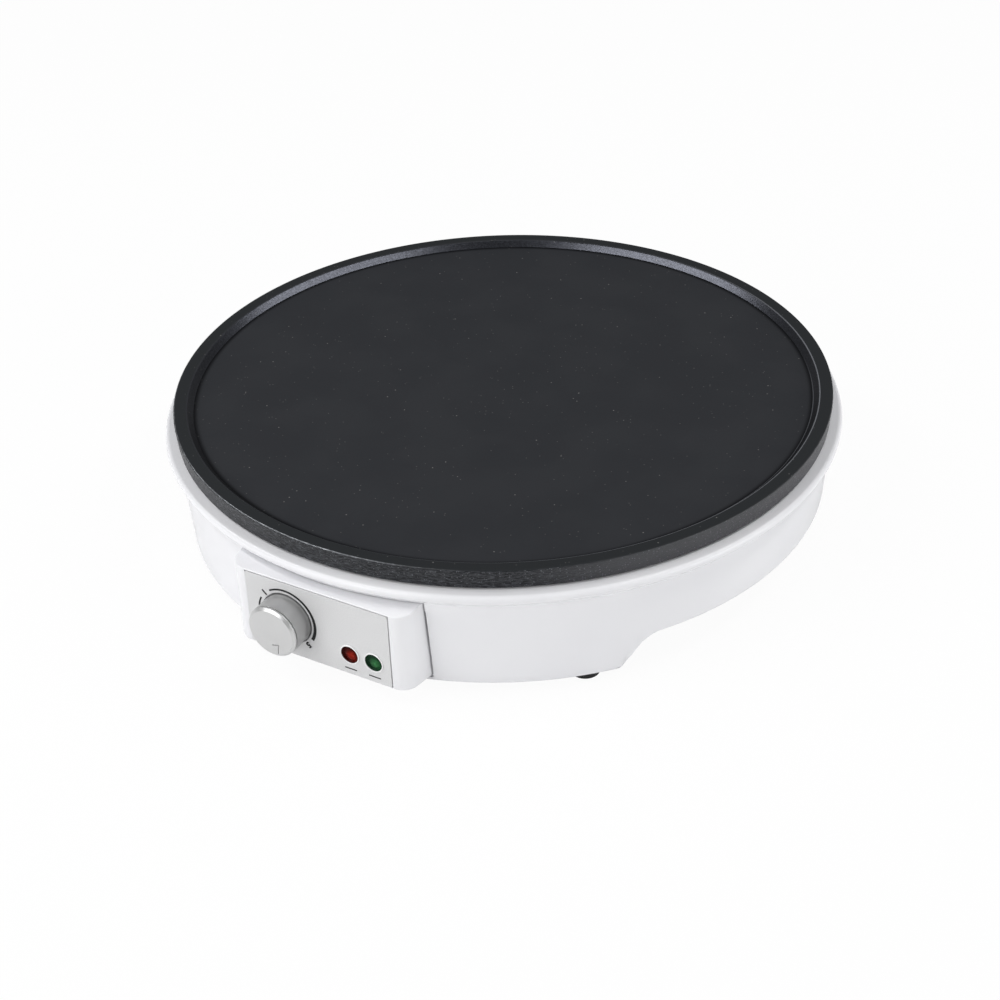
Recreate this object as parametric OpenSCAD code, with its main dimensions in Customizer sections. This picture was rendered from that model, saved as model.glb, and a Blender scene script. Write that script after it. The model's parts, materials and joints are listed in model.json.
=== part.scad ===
// Electric crepe maker: a round non-stick hotplate on a low white body, with a
// thermostat knob and two pilot lamps on the front. Millimetres. Z is up and starts
// at the table, the plate's axis is Z, and the control panel faces -Y.

/* [Cooking plate] */
// Outer diameter of the plate at its top edge
plate_d = 300; // [280:5:340]
// Height of the plate's side
plate_side_h = 9; // [8:0.5:11]
// How much smaller the side is at its bottom edge
plate_draft = 0.8; // [0:0.2:2]
// Width of the flat rim around the cooking surface
rim_w = 6; // [4:0.2:10]
// Depth of the cooking surface below the rim
rim_depth = 2.9; // [1.5:0.1:3.5]
// Width of the slope between rim and cooking surface
rim_slope = 2.9; // [1:0.1:6]
// Thickness of the plate under the cooking surface
plate_floor_t = 4; // [3.5:0.5:5]

/* [Body shell] */
// Height of the whole appliance, from table to rim
overall_h = 63.5; // [61:0.5:80]
// Height of the body's bottom edge above the table
skirt_gap = 4.5; // [3:0.5:8]
// Wall thickness of the body
wall_t = 2.4; // [2:0.2:3]
// How far the body's lip stands out beyond the plate
lip_overhang = 4.5; // [3:0.3:8]
// Step from the lip in to the wall
lip_step = 4.6; // [3:0.2:6]
// Height of the lip's upright edge
lip_edge_h = 3.5; // [3:0.1:5]
// Height of the slope under the lip, from the wall out to its edge
lip_under_h = 4.4; // [3.4:0.2:5]
// How much the wall leans in between the lip and the grips
wall_draft = 1.8; // [0.5:0.1:2.5]
// How much the skirt leans in below the grips
skirt_draft = 0.9; // [0.5:0.1:3]
// Width of the deck under the plate's edge
deck_w = 30; // [26:1:36]
// Thickness of that deck
deck_t = 2; // [2:0.2:3]
// Air gap between plate and lip
plate_gap = 0.6; // [0.4:0.1:1]

/* [Hand grips] */
// Height of the hand grips above the table
grip_h = 19.5; // [16:0.5:21]
// Half length of a grip at its top
grip_half_l = 87.7; // [60:0.1:88.5]
// Run of a grip's sloping end
grip_run = 9.2; // [6:0.4:10]
// Radius of the grip's upper corners
grip_fillet = 10; // [6:1:12]
// Radius of the grip's lower corners
grip_corner = 2.5; // [2:0.5:6]
// Depth of the hand pocket behind a grip
grip_depth = 44; // [43:1:48]

/* [Bottom cover] */
// Thickness of the bottom cover
cover_t = 2; // [1.6:0.2:3]
// How far the cover lies above the body's bottom edge
cover_recess = 2; // [1.5:0.5:4]
// Number of cooling slots on each side
vent_count = 7; // [3:1:9]

/* [Control housing] */
// Width of the housing's front face
housing_w = 85.4; // [84:0.2:92]
// Gap between the body's lip and the housing's top at its front
housing_drop = 1.65; // [1:0.05:3]
// Rise of the housing's top towards the body, as a share of its depth
housing_slope = 0.12; // [0:0.01:0.2]
// Height of the housing's bottom above the table
housing_z = 6.9; // [5:0.1:7.5]
// How far the panel stands in front of the wall
panel_reach = 5.5; // [3.5:0.1:8]
// How much wider the housing is on each side at the body
housing_flare = 2.4; // [0.4:0.1:3]
// Wall thickness of the housing
housing_t = 2; // [1.6:0.2:2.4]
// Radius of the housing's upright corners
housing_corner = 6; // [4:0.5:7]
// Depth of the seat in the body that the housing's edge lies in
seat_depth = 1.4; // [0.6:0.1:1.5]

/* [Control panel] */
// Width of the panel
panel_w = 70.6; // [66:0.4:72]
// Border of the housing above and below the panel
panel_border = 0.7; // [0.6:0.1:2]
// Thickness of the panel
panel_t = 1; // [0.8:0.1:1.4]

/* [Knob] */
// Diameter of the knob at the panel
knob_d = 23.8; // [20:0.2:25]
// Diameter of the knob at its face
knob_face_d = 23.6; // [18:0.2:24]
// How far the knob stands out from the panel
knob_reach = 11.6; // [9:0.2:16]
// Wall thickness of the knob
knob_t = 1.6; // [1.2:0.2:2.2]
// Knob's place left of the panel's centre
knob_offset = 15.4; // [13.5:0.1:18]
// Diameter of the thermostat's spindle
spindle_d = 6; // [5:0.5:6]
// Radius of the printed heat scale around the knob
scale_r = 14.1; // [13.5:0.1:15]

/* [Pilot lamps] */
// Outer diameter of a lamp's bezel
lamp_d = 9.4; // [7.5:0.1:9.6]
// Red lamp's place right of the panel's centre
lamp_x = 15.3; // [13:0.1:16]
// Distance between the two lamps
lamp_pitch = 11.8; // [11.2:0.1:13]
// Height of the lamps above the panel's lower edge
lamp_rise = 10.2; // [9.5:0.1:14]

/* [Heating] */
// Radius of the heating element's ring
element_r = 88; // [70:1:96]
// Diameter of the element's tube
element_d = 7; // [6.5:0.5:8]
// Distance between the element's two ends
element_gap = 24; // [20:1:30]
// Thickness of the heat shield
shield_t = 0.6; // [0.5:0.1:1]
// Depth of the heat shield's dish
shield_drop = 6; // [5:0.5:8]

/* [Feet] */
// Diameter of a foot
foot_d = 13; // [10:0.5:14]
// Gap between a foot and the inside of the skirt
foot_gap = 0.4; // [0.3:0.1:8]
// Angle of the feet from the front and the back
foot_az = 43.8; // [40:0.2:46]

/* [Fasteners] */
// Thread diameter of the plate's screws
plate_screw_d = 4; // [3:0.5:5]
// Thread diameter of the screws in plastic
case_screw_d = 3; // [2.5:0.5:3.5]
// Bore of the cord gland
cord_bore_d = 7; // [6:0.5:8]

/* [Hidden] */
$fn = 48;
big_fn = 160;         // segments of the large rings
arc_steps = 6;        // segments of a rounded corner
eps = 0.5;            // how far a cutting solid runs past a face

seam_gap = 0.3;       // gap between parts that only lie against each other
thread_play = 0.05;   // radial gap between a screw and its thread
run_play = 0.05;      // radial gap between a shaft and its bearing
hole_play = 0.3;      // radial gap around a screw in a plain hole

plate_r = plate_d / 2;
plate_low_r = plate_r - plate_draft;
surface_r = plate_r - rim_w - rim_slope;
surface_z = overall_h - rim_depth;
under_z = surface_z - plate_floor_t;
side_z = overall_h - plate_side_h;
rim_wall = 5;         // width of the plate's turned-down edge
edge_round = 0.7;     // rounding of the plate's edges

lip_z = side_z - plate_gap;
deck_step = 1.4;      // drop from the lip's top to the deck
deck_z = lip_z - deck_step;
lip_r = plate_r + lip_overhang;
wall_r = lip_r - lip_step;
grip_r = wall_r - wall_draft;
skirt_r = grip_r - skirt_draft;
foot_r = skirt_r - wall_t - foot_gap - foot_d / 2;
lip_low_z = lip_z - lip_edge_h - lip_under_h;
housing_h = lip_low_z - housing_drop - housing_z;
panel_h = housing_h - 2 * panel_border;
lip_round = lip_edge_h * 0.6;          // rounding of the lip's upper edge
lip_under_round = lip_edge_h * 0.6;
deck_r = plate_r - deck_w;

cover_z = skirt_gap + cover_recess;
cover_top = cover_z + cover_t;
wing_z = grip_h + 1;  // underside of the cover above a grip
wing_top = wing_z + cover_t;
pocket_x = plate_r - grip_depth;
vent_l = 33;                           // cooling slots
vent_w = 3;
vent_pitch = 9;
vent_x = deck_r * 0.58;

shield_z = deck_z;                     // underside of the shield's rim
boss_z = shield_z + shield_t;          // bottom of the plate's outer bosses
dish_z = shield_z - shield_drop;       // underside of the shield's dish
dish_top = dish_z + shield_t;
dish_r = deck_r - 8;
dish_lip_r = deck_r - 2;
shield_r = deck_r + 16;

plate_screw_r = deck_r + 10;           // pitch radius of the plate's screws
plate_screw_az = [60, 120, 240, 300];
plate_boss_d = plate_screw_d + 6;
rib_t = 1.6;                           // ribs beside the heating element
rib_h = 2.5;
rib_gap = 0.5;
thread_depth = 2;                      // how far a thread goes into the plate itself

post_r = foot_r - 5;                 // pitch radius of the cover's screw posts
post_d = case_screw_d + 6;
post_bore_depth = 12;
post_thread = 9;                       // how far the cover's screws go into their posts
foot_stem_d = 5;
foot_places = [for (az = [foot_az, 180 - foot_az, 180 + foot_az, -foot_az]) bearing(az, foot_r)];
low_post_az = [30, 150, 210, 330];     // posts down to the cover's floor
wing_post_az = [90, 270];              // posts down to the cover's wings

panel_y = wall_r + panel_reach;        // distance of the panel's face from the axis
panel_z = housing_z + housing_h / 2;
housing_y = panel_y - 0.4;             // distance of the housing's border
panel_back = panel_y - panel_t;
housing_back = panel_back - housing_t;
panel_play = 0.25;                     // gap around the panel in its recess
housing_foot_y = wall_r * cos(asin((housing_w / 2 + housing_flare) / wall_r)) - 4;
housing_top = housing_z + housing_h;
seat_gap = 0.8;                        // gap around the housing in its seat
window_w = 67;                         // opening in the wall behind the housing
window_h = housing_h - 8;
ear_x = window_w / 2 + case_screw_d / 2 + 2;   // housing screws
ear_front = housing_y - 4.5;           // where their threads end
ear_dz = housing_h / 2 - housing_t - case_screw_d / 2 - 1.9;
ear_d = case_screw_d + 2.6;
ear_seat_y = wall_r * cos(asin(ear_x / wall_r)) - wall_t - 4;

knob_x = -knob_offset;
knob_rise = 0.2;                       // knob's axis above the panel's centre
knob_z = panel_z + knob_rise;
knob_front = panel_y + knob_reach;
knob_play = 0.5;                       // gap around the knob in the panel
knob_sink = 1.5;                       // how deep the knob sits in the panel
knob_back = panel_y - knob_sink;
hub_d = spindle_d + 5;
spindle_flat = spindle_d / 2 - 1;      // height of the spindle's flat above its axis
spindle_sink = 5;                      // from the knob's face back to the spindle's end
knob_face_t = 2;                       // the knob's face in front of its bore
pointer_az = -75;                      // where the knob points at rest
pointer_l = 3.9;
pointer_w = 3;
pointer_h = 0.3;
pointer_in = 2.2;                      // from the face's edge in to the pointer's tip

scale_start = 171;                     // the printed scale, as angles around the knob
scale_low_end = 151;
scale_low_start = 123;
scale_hot = -30;
scale_print = 0.1;                     // thickness of the print
scale_hot_w = 1.5;                     // width of the arc at its hot end
scale_low_w = 0.7;

lamp_z = panel_z - panel_h / 2 + lamp_rise;
lamp_xs = [lamp_x, lamp_x + lamp_pitch];
lens_d = lamp_d - 1.2;
sleeve_d = lamp_d - 0.5;
lens_back = panel_y - 6;
holder_d = lamp_d + 1.6;
holder_back = panel_y - 18;

frame_y = deck_r - 2;                  // front face of the thermostat's bracket
frame_t = 1.2;
frame_back = frame_y - frame_t;
frame_side = 8;                        // bracket beside the spindle and the stack
frame_drop = 10;                       // bracket below the spindle
tab_l = 20;                            // length of the bracket's top tab
bush_d = 10;
bush_front = frame_y + 8;
bush_back = frame_back - 4;
pin_d = 4;
pin_start = frame_y - 2;               // where the spindle ends and the pin starts
pin_travel = 0.6;
pin_end = frame_back - 7.2;
blade_w = 7;
blade_t = 0.5;
moving_y = pin_end - pin_travel - 0.2; // front face of the moving blade
contact_t = 2;
blade_tab = 8;                         // length of a blade's tab
fixed_y = moving_y - blade_t - 2 * contact_t;
bimetal_y = fixed_y - blade_t - 2.5;
bimetal_t = 1;
stack_x = knob_x - bush_d / 2 - 6;     // the blades' stack lies beside the bush
stack_d = 9;
rivet_d = 3;
rivet_head_d = 5.6;
rivet_head_h = 1.2;
blade_left = stack_x - stack_d / 2 - 0.5;
blade_right = knob_x + 9;
contact_x = blade_right - 3;
screw_y = frame_back - 14;             // bracket screw

element_z = under_z - element_d / 2 + 0.4;
end_x = element_gap / 2;
end_angle = asin(end_x / element_r);
end_y = element_r * cos(end_angle);
leg_low = dish_z - 4.5;
bush_low = dish_z - 2.5;
tab_top = leg_low - 7;
tab_low = tab_top - 9;
tab_w = 6.3;
tab_t = 0.8;

spade_l = 9;
spade_t = 3;
spade_floor = 2;                       // from a connector's back to the end of its tab
spade_z = tab_low - spade_floor - 0.1;
lug_x = blade_left - blade_tab - spade_floor - 0.1;
moving_lug = [lug_x, -moving_y + blade_t / 2, knob_z];
fixed_lug = [lug_x, -fixed_y + blade_t / 2, knob_z];

fuse_x = element_r - 43;
fuse_y = 30;
fuse_d = 6;
fuse_l = 26;
fuse_z = dish_z - fuse_d / 2 - 0.2;
fuse_pitch = 15;                       // from the clamp's screw to the fuse
clamp_t = 0.8;
clamp_w = 9;
fuse_lead_l = 5;
fuse_lead_d = 1.4;
fuse_front = [fuse_x + fuse_pitch, fuse_y - fuse_l / 2 - fuse_lead_l, fuse_z];
fuse_rear = [fuse_x + fuse_pitch, fuse_y + fuse_l / 2 + fuse_lead_l, fuse_z];

gland_z = 28.5;
gland_y = wall_r + 1;                  // flat land for the gland
gland_d = cord_bore_d + 3.4;
gland_flange_d = gland_d + 4;
gland_flange_t = 2;
gland_barb_gap = 3.2;                  // from the wall in to the gland's barb
gland_barb_l = 3;
clamp_y = plate_r - 24;
clamp_post_h = 10;
clamp_half = 12;
block_y = clamp_y - 26;
block_w = 52;
block_l = 16;
pole_pitch = 10;
block_h = 13;
pole_xs = [for (i = [-2:2]) i * pole_pitch];
pole_z = cover_top + 5;
pole_y = block_y + 2;                  // where a wire ends in its pole
pole_screw_in = 4;                     // from the block's face in to a pole's screw
pole_screw_d = case_screw_d - 0.4;
pole_screw_l = 5;
insert_d = 6;
insert_bore_d = 3.6;
earth_y = element_r - 33;
wire_z = cover_top + 2;                // height of the wires along the cover

wire_d = 2.4;
wire_sides = 8;
ring_steps = 4;                        // segments of a wire's bend

// ---- helpers ----

function unit(v) = v / norm(v);
// The arc that rounds corner b between a and c with radius r
function corner(a, b, c, r) =
    let (u = unit(a - b), v = unit(c - b), half = acos(u * v) / 2,
         m = b + unit(u + v) * r / sin(half), p = b + u * r / tan(half) - m,
         q = b + v * r / tan(half) - m, turn = acos(p * q / (r * r)))
    [for (i = [0:arc_steps]) let (t = turn * i / arc_steps)
        m + (p * sin(turn - t) + q * sin(t)) / sin(turn)];
// An outline of [x, y, radius] points with its corners rounded
function rounded(pts) = [for (i = [0:len(pts) - 1])
    let (n = len(pts), b = pts[i], a = pts[(i + n - 1) % n], c = pts[(i + 1) % n])
    each b[2] == 0 ? [[b[0], b[1]]]
        : corner([a[0], a[1]], [b[0], b[1]], [c[0], c[1]], b[2])];
// A point at a bearing from the front, positive towards +X
function bearing(az, r) = [r * sin(az), -r * cos(az)];
// Outer radius of the body's wall at height z
function wall_at(z) = z < grip_h
    ? skirt_r + skirt_draft * (z - skirt_gap) / (grip_h - skirt_gap)
    : grip_r + wall_draft * (z - grip_h) / (lip_low_z - grip_h);

module ring(r_out, r_in, h) {
    difference() {
        cylinder(r = r_out, h = h);
        translate([0, 0, -eps]) cylinder(r = r_in, h = h + 2 * eps);
    }
}

// Turns its children from Z to -Y: x stays, and z counts away from the axis
module to_front() { rotate([90, 0, 0]) children(); }

// A cylinder along Y between two distances in front of the axis
module front_bar(d, from, to, x, z) {
    translate([x, -from, z]) to_front() cylinder(d = d, h = to - from);
}

// A solid with the wall's outer shape, grown by a gap
module wall_solid(gap, z_low, z_high) {
    rotate_extrude($fn = big_fn) polygon([
        [0, z_low], [wall_at(z_low) + gap, z_low], [grip_r + gap, grip_h],
        [wall_at(z_high) + gap, z_high], [0, z_high]]);
}

module upward_screw(d, head_d, head_h, seat_z, top_z) {
    translate([0, 0, seat_z - head_h]) difference() {
        cylinder(d = head_d, h = head_h);
        translate([-head_d * 0.35, -0.4, -eps]) cube([head_d * 0.7, 0.8, eps + 0.8]);
        translate([-0.4, -head_d * 0.35, -eps]) cube([0.8, head_d * 0.7, eps + 0.8]);
    }
    translate([0, 0, seat_z - eps]) cylinder(d = d - 2 * thread_play, h = top_z - seat_z + eps);
}

// ---- cooking plate and heating ----

module plate_outline() {
    polygon(rounded([
        [0, surface_z, 0], [surface_r, surface_z, 0],
        [surface_r + rim_slope, overall_h, edge_round],
        [plate_r, overall_h, edge_round], [plate_low_r, side_z, edge_round],
        [plate_low_r - rim_wall, side_z, edge_round],
        [plate_low_r - rim_wall, under_z, 0], [0, under_z, 0]]));
}

module plate_boss(d, low) {
    translate([0, 0, low]) cylinder(d = d, h = under_z - low + eps);
}

module plate_thread(low) {
    translate([0, 0, low - eps])
        cylinder(d = plate_screw_d, h = under_z + thread_depth - low + eps);
}

module cooking_plate() {
    color([0.17, 0.18, 0.2]) difference() {
        union() {
            rotate_extrude($fn = big_fn) plate_outline();
            for (az = plate_screw_az) translate(bearing(az, plate_screw_r))
                plate_boss(plate_boss_d, boss_z);
            translate([knob_x, -screw_y, 0]) plate_boss(plate_boss_d, dish_top);
            translate([fuse_x, fuse_y, 0]) plate_boss(plate_boss_d, dish_top);
            translate([0, earth_y, 0]) plate_boss(plate_boss_d, dish_top);
            // two ribs that hold the heating element
            for (side = [-1, 1])
                translate([0, 0, under_z - rib_h]) rotate([0, 0, 90 + end_angle + 6])
                    rotate_extrude(angle = 348 - 2 * end_angle, $fn = big_fn)
                        translate([element_r + side * (element_d / 2 + rib_gap + rib_t / 2)
                            - rib_t / 2, 0]) square([rib_t, rib_h + eps]);
        }
        for (az = plate_screw_az) translate(bearing(az, plate_screw_r)) plate_thread(boss_z);
        translate([knob_x, -screw_y, 0]) plate_thread(dish_top);
        translate([fuse_x, fuse_y, 0]) plate_thread(dish_top);
        translate([0, earth_y, 0]) plate_thread(dish_top);
    }
}

module heating_element() {
    color([0.45, 0.43, 0.42]) difference() {
        union() {
            rotate([0, 0, 90 + end_angle])
                rotate_extrude(angle = 360 - 2 * end_angle, $fn = big_fn)
                    translate([element_r, element_z]) difference() {
                        circle(d = element_d);
                        translate([-element_d, under_z - element_z])
                            square([2 * element_d, element_d]);
                    }
            for (x = [-end_x, end_x]) translate([x, end_y, leg_low])
                cylinder(d = element_d - 0.2, h = element_z + 2 - leg_low);
        }
        for (x = [-end_x, end_x]) translate([x, end_y, leg_low - eps])
            cylinder(d = 3.3, h = 3 + eps);
    }
}

module element_terminals() {
    color([0.75, 0.74, 0.7]) for (x = [-end_x, end_x]) translate([x, end_y, 0]) {
        translate([0, 0, tab_top - eps]) cylinder(d = 3.2, h = leg_low + 2.9 - tab_top + eps);
        translate([-tab_w / 2, -tab_t / 2, tab_low]) cube([tab_w, tab_t, tab_top - tab_low]);
    }
}

module element_bushes() {
    color([0.93, 0.91, 0.86]) for (x = [-end_x, end_x]) translate([x, end_y, 0])
        difference() {
            union() {
                translate([0, 0, dish_top]) cylinder(d = element_d + 6, h = 1.2);
                translate([0, 0, bush_low]) cylinder(d = element_d + 3, h = dish_top - bush_low + eps);
            }
            translate([0, 0, bush_low - eps]) cylinder(d = element_d + 0.1, h = 20);
        }
}

module heat_shield() {
    color([0.8, 0.81, 0.82]) difference() {
        rotate_extrude($fn = big_fn) polygon([
            [0, dish_z], [dish_r, dish_z], [dish_lip_r, shield_z], [shield_r, shield_z],
            [shield_r, boss_z], [dish_lip_r - shield_t / 2, boss_z],
            [dish_r - shield_t / 2, dish_top], [0, dish_top]]);
        for (az = plate_screw_az) translate([each bearing(az, plate_screw_r), shield_z - eps])
            cylinder(d = plate_screw_d + 2 * hole_play, h = 3);
        for (p = [[knob_x, -screw_y], [fuse_x, fuse_y], [0, earth_y]])
            translate([each p, dish_z - eps])
                cylinder(d = plate_screw_d + 2 * hole_play, h = 3);
        for (x = [-end_x, end_x]) translate([x, end_y, dish_z - eps])
            cylinder(d = element_d + 3.4, h = 3);
    }
}

// ---- body ----

module shell_outline() {
    polygon(rounded([
        [skirt_r, skirt_gap, 0], [grip_r, grip_h, 0], [wall_r, lip_low_z, 0.8],
        [lip_r, lip_low_z + lip_under_h, lip_under_round],
        [lip_r, lip_z - 0.4, lip_round], [plate_low_r - 1, lip_z, 0],
        [plate_low_r - 3, lip_z, 0], [plate_low_r - 5, deck_z, 0], [deck_r, deck_z, 0],
        [deck_r, deck_z - deck_t, 0], [wall_r - wall_t - 1, deck_z - deck_t, 0],
        [wall_r - wall_t, deck_z - deck_t - 3, 0], [grip_r - wall_t, grip_h, 0],
        [skirt_r - wall_t, skirt_gap, 0]]));
}

// The two side arches, as one outline across Y and up Z
module grip_outline() {
    polygon(rounded([
        [-grip_half_l - grip_run, skirt_gap, grip_corner],
        [-grip_half_l, grip_h, grip_fillet], [grip_half_l, grip_h, grip_fillet],
        [grip_half_l + grip_run, skirt_gap, grip_corner],
        [grip_half_l + grip_run + 9, skirt_gap, 0],
        [grip_half_l + grip_run + 9, skirt_gap - 3, 0],
        [-grip_half_l - grip_run - 9, skirt_gap - 3, 0],
        [-grip_half_l - grip_run - 9, skirt_gap, 0]]));
}

module grip_cuts() {
    for (side = [0, 180]) rotate([0, 0, side]) translate([pocket_x - 20, 0, 0])
        rotate([90, 0, 90]) linear_extrude(height = 80) grip_outline();
}

module post(az, low) {
    translate([each bearing(az, post_r), low]) cylinder(d = post_d, h = deck_z - 1 - low);
}

module post_bore(az, low) {
    translate([each bearing(az, post_r), low - eps]) cylinder(d = case_screw_d, h = post_bore_depth + eps);
}

module base_shell() {
    color([0.95, 0.95, 0.96]) difference() {
        union() {
            rotate_extrude($fn = big_fn) shell_outline();
            for (az = low_post_az) post(az, cover_top);
            for (az = wing_post_az) post(az, wing_top);
            // flat seats for the housing's screws
            intersection() {
                for (x = [-ear_x, ear_x], dz = [-ear_dz, ear_dz])
                    front_bar(8, ear_seat_y, wall_r, x, panel_z + dz);
                wall_solid(-0.8, cover_top, lip_low_z - 2);
            }
            // land for the cord gland
            translate([0, gland_y, gland_z]) to_front() cylinder(d = gland_flange_d + 4, h = wall_t + 3);
        }
        grip_cuts();
        for (az = low_post_az) post_bore(az, cover_top);
        for (az = wing_post_az) post_bore(az, wing_top);
        for (az = plate_screw_az)
            translate([each bearing(az, plate_screw_r), deck_z - deck_t - eps])
                cylinder(d = plate_screw_d + 2 * hole_play, h = deck_t + 2 * eps);
        translate([-window_w / 2, -panel_y, panel_z - window_h / 2])
            cube([window_w, panel_reach + wall_t + 12, window_h]);
        for (x = [-ear_x, ear_x], dz = [-ear_dz, ear_dz])
            front_bar(case_screw_d + 2 * hole_play, ear_seat_y - eps, panel_y, x, panel_z + dz);
        difference() {
            housing_block(-seat_gap, panel_y);
            wall_solid(-seat_depth, skirt_gap - 1, lip_z);
        }
        translate([0, gland_y + eps, gland_z]) to_front() cylinder(d = gland_d, h = wall_t + 6);
    }
}

module cover_outline() {
    far = wall_r;
    polygon([
        [-far, wing_z], [-pocket_x, wing_z], [-pocket_x, cover_z], [pocket_x, cover_z],
        [pocket_x, wing_z], [far, wing_z], [far, wing_top], [pocket_x - cover_t, wing_top],
        [pocket_x - cover_t, cover_top], [cover_t - pocket_x, cover_top],
        [cover_t - pocket_x, wing_top], [-far, wing_top]]);
}

module bottom_cover() {
    color([0.9, 0.9, 0.91]) difference() {
        union() {
            intersection() {
                translate([0, wall_r, 0]) to_front() linear_extrude(height = 2 * wall_r)
                    cover_outline();
                wall_solid(-wall_t - seam_gap, skirt_gap, grip_h + 6);
            }
            for (x = [-clamp_half, clamp_half]) translate([x, clamp_y, cover_top - 1])
                cylinder(d = 8, h = clamp_post_h + 1);
        }
        for (az = low_post_az) translate([each bearing(az, post_r), cover_z - eps])
            cylinder(d = case_screw_d + 2 * hole_play, h = cover_t + 2 * eps);
        for (az = wing_post_az) translate([each bearing(az, post_r), wing_z - eps])
            cylinder(d = case_screw_d + 2 * hole_play, h = cover_t + 2 * eps);
        for (p = foot_places) translate([each p, cover_z - eps])
            cylinder(d = foot_stem_d + 0.2, h = cover_t + 2 * eps);
        for (x = [-clamp_half, clamp_half]) translate([x, clamp_y, cover_top + 1])
            cylinder(d = case_screw_d, h = clamp_post_h);
        for (side = [-1, 1], i = [0:vent_count - 1])
            translate([side * vent_x - vent_l / 2,
                (i - (vent_count - 1) / 2) * vent_pitch - vent_w / 2, cover_z - eps])
                cube([vent_l, vent_w, cover_t + 2 * eps]);
    }
}

module rubber_feet() {
    color([0.07, 0.07, 0.07]) for (p = foot_places) translate([each p, 0])
        rotate_extrude() polygon(rounded([
            [0, 0, 0], [foot_d / 2 - 0.2, 0, 0.3], [foot_d / 2, cover_z - 1, 1],
            [foot_d / 2 - 1, cover_z, 0], [foot_stem_d / 2, cover_z, 0],
            [foot_stem_d / 2, cover_top + 0.2, 0], [foot_stem_d / 2 + 1.2, cover_top + 0.2, 0],
            [foot_stem_d / 2 - 0.6, cover_top + 4, 0], [0, cover_top + 4, 0]]));
}

module plate_screws() {
    color([0.7, 0.7, 0.72]) for (az = plate_screw_az) translate(bearing(az, plate_screw_r))
        upward_screw(plate_screw_d, plate_screw_d * 1.9, 2.4, deck_z - deck_t, under_z + thread_depth - 0.5);
}

module cover_screws() {
    color([0.7, 0.7, 0.72]) {
        for (az = low_post_az) translate(bearing(az, post_r))
            upward_screw(case_screw_d, case_screw_d * 2, 1.8, cover_z, cover_top + post_thread);
        for (az = wing_post_az) translate(bearing(az, post_r))
            upward_screw(case_screw_d, case_screw_d * 2, 1.8, wing_z, wing_top + post_thread);
    }
}

// ---- control housing, panel and lamps ----

// Everything below the housing's sloping top, lowered by t
module under_slope(t) {
    far = housing_y + 10;
    near = housing_foot_y - 10;
    rotate([90, 0, 90]) translate([0, 0, -housing_w]) linear_extrude(height = 2 * housing_w)
        polygon([[-far, 0], [-near, 0],
            [-near, housing_top - t + housing_slope * (housing_y - near)],
            [-far, housing_top - t + housing_slope * (housing_y - far)]]);
}

// The housing's outer shape, inset by t, between its bottom and its sloping top
module housing_block(t, y) {
    intersection() {
        translate([0, 0, housing_z + t]) linear_extrude(height = 2 * housing_h)
            housing_plan(t, y);
        under_slope(t);
    }
}

// Plan of the housing, inset by t, with its front border at distance y
module housing_plan(t, y) {
    half = housing_w / 2;
    lean = housing_flare / (housing_y - housing_foot_y);
    side_t = t * sqrt(1 + lean * lean);
    polygon(rounded([
        [-half - housing_flare - 2 * lean + side_t, -housing_foot_y + 2, 0],
        [-half + side_t - t * lean, -y, max(housing_corner - t, 0.5)],
        [half - side_t + t * lean, -y, max(housing_corner - t, 0.5)],
        [half + housing_flare + 2 * lean - side_t, -housing_foot_y + 2, 0]]));
}

module control_housing() {
    color([0.94, 0.94, 0.95]) difference() {
        union() {
            difference() {
                housing_block(0, housing_y);
                housing_block(housing_t, housing_back);
            }
            intersection() {
                for (x = [-ear_x, ear_x], dz = [-ear_dz, ear_dz])
                    front_bar(ear_d, wall_r * 0.9, housing_back + 1, x, panel_z + dz);
                housing_block(1, housing_y - 1);
            }
        }
        wall_solid(seam_gap - seat_depth, skirt_gap, lip_z);
        translate([-panel_w / 2 - panel_play, -panel_y - 1, panel_z - panel_h / 2 - panel_play])
            cube([panel_w + 2 * panel_play, 1 + panel_t, panel_h + 2 * panel_play]);
        for (x = [-ear_x, ear_x], dz = [-ear_dz, ear_dz])
            front_bar(case_screw_d, wall_r * 0.9, ear_front, x, panel_z + dz);
        front_bar(knob_d + 2 * knob_play, panel_back - 1, panel_y, knob_x, knob_z);
        front_bar(hub_d + 1, wall_r * 0.9, panel_y, knob_x, knob_z);
        for (x = lamp_xs) front_bar(sleeve_d + 0.2, wall_r * 0.9, panel_y, x, lamp_z);
    }
}

module housing_screws() {
    color([0.7, 0.7, 0.72]) for (x = [-ear_x, ear_x], dz = [-ear_dz, ear_dz]) {
        front_bar(case_screw_d - 2 * thread_play, ear_seat_y - eps, ear_front - 0.3, x, panel_z + dz);
        front_bar(case_screw_d * 2, ear_seat_y - 2, ear_seat_y, x, panel_z + dz);
    }
}

module control_panel() {
    color([0.8, 0.8, 0.81]) difference() {
        translate([-panel_w / 2, -panel_y, panel_z - panel_h / 2])
            cube([panel_w, panel_t, panel_h]);
        front_bar(knob_d + 2 * knob_play, panel_back - 1, panel_y + 1, knob_x, knob_z);
        for (x = lamp_xs) front_bar(sleeve_d + 0.2, panel_back - 1, panel_y + 1, x, lamp_z);
    }
}

// The printed heat scale: a short and a long arc that thickens towards hot
module heat_scale() {
    color([0.12, 0.12, 0.13]) translate([knob_x, -panel_y, knob_z]) to_front() {
        scale_arc(scale_low_end, scale_start, scale_low_w / 2, scale_low_w / 2);
        scale_arc(scale_hot, scale_low_start, scale_hot_w / 2, scale_low_w / 2);
    }
}

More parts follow.
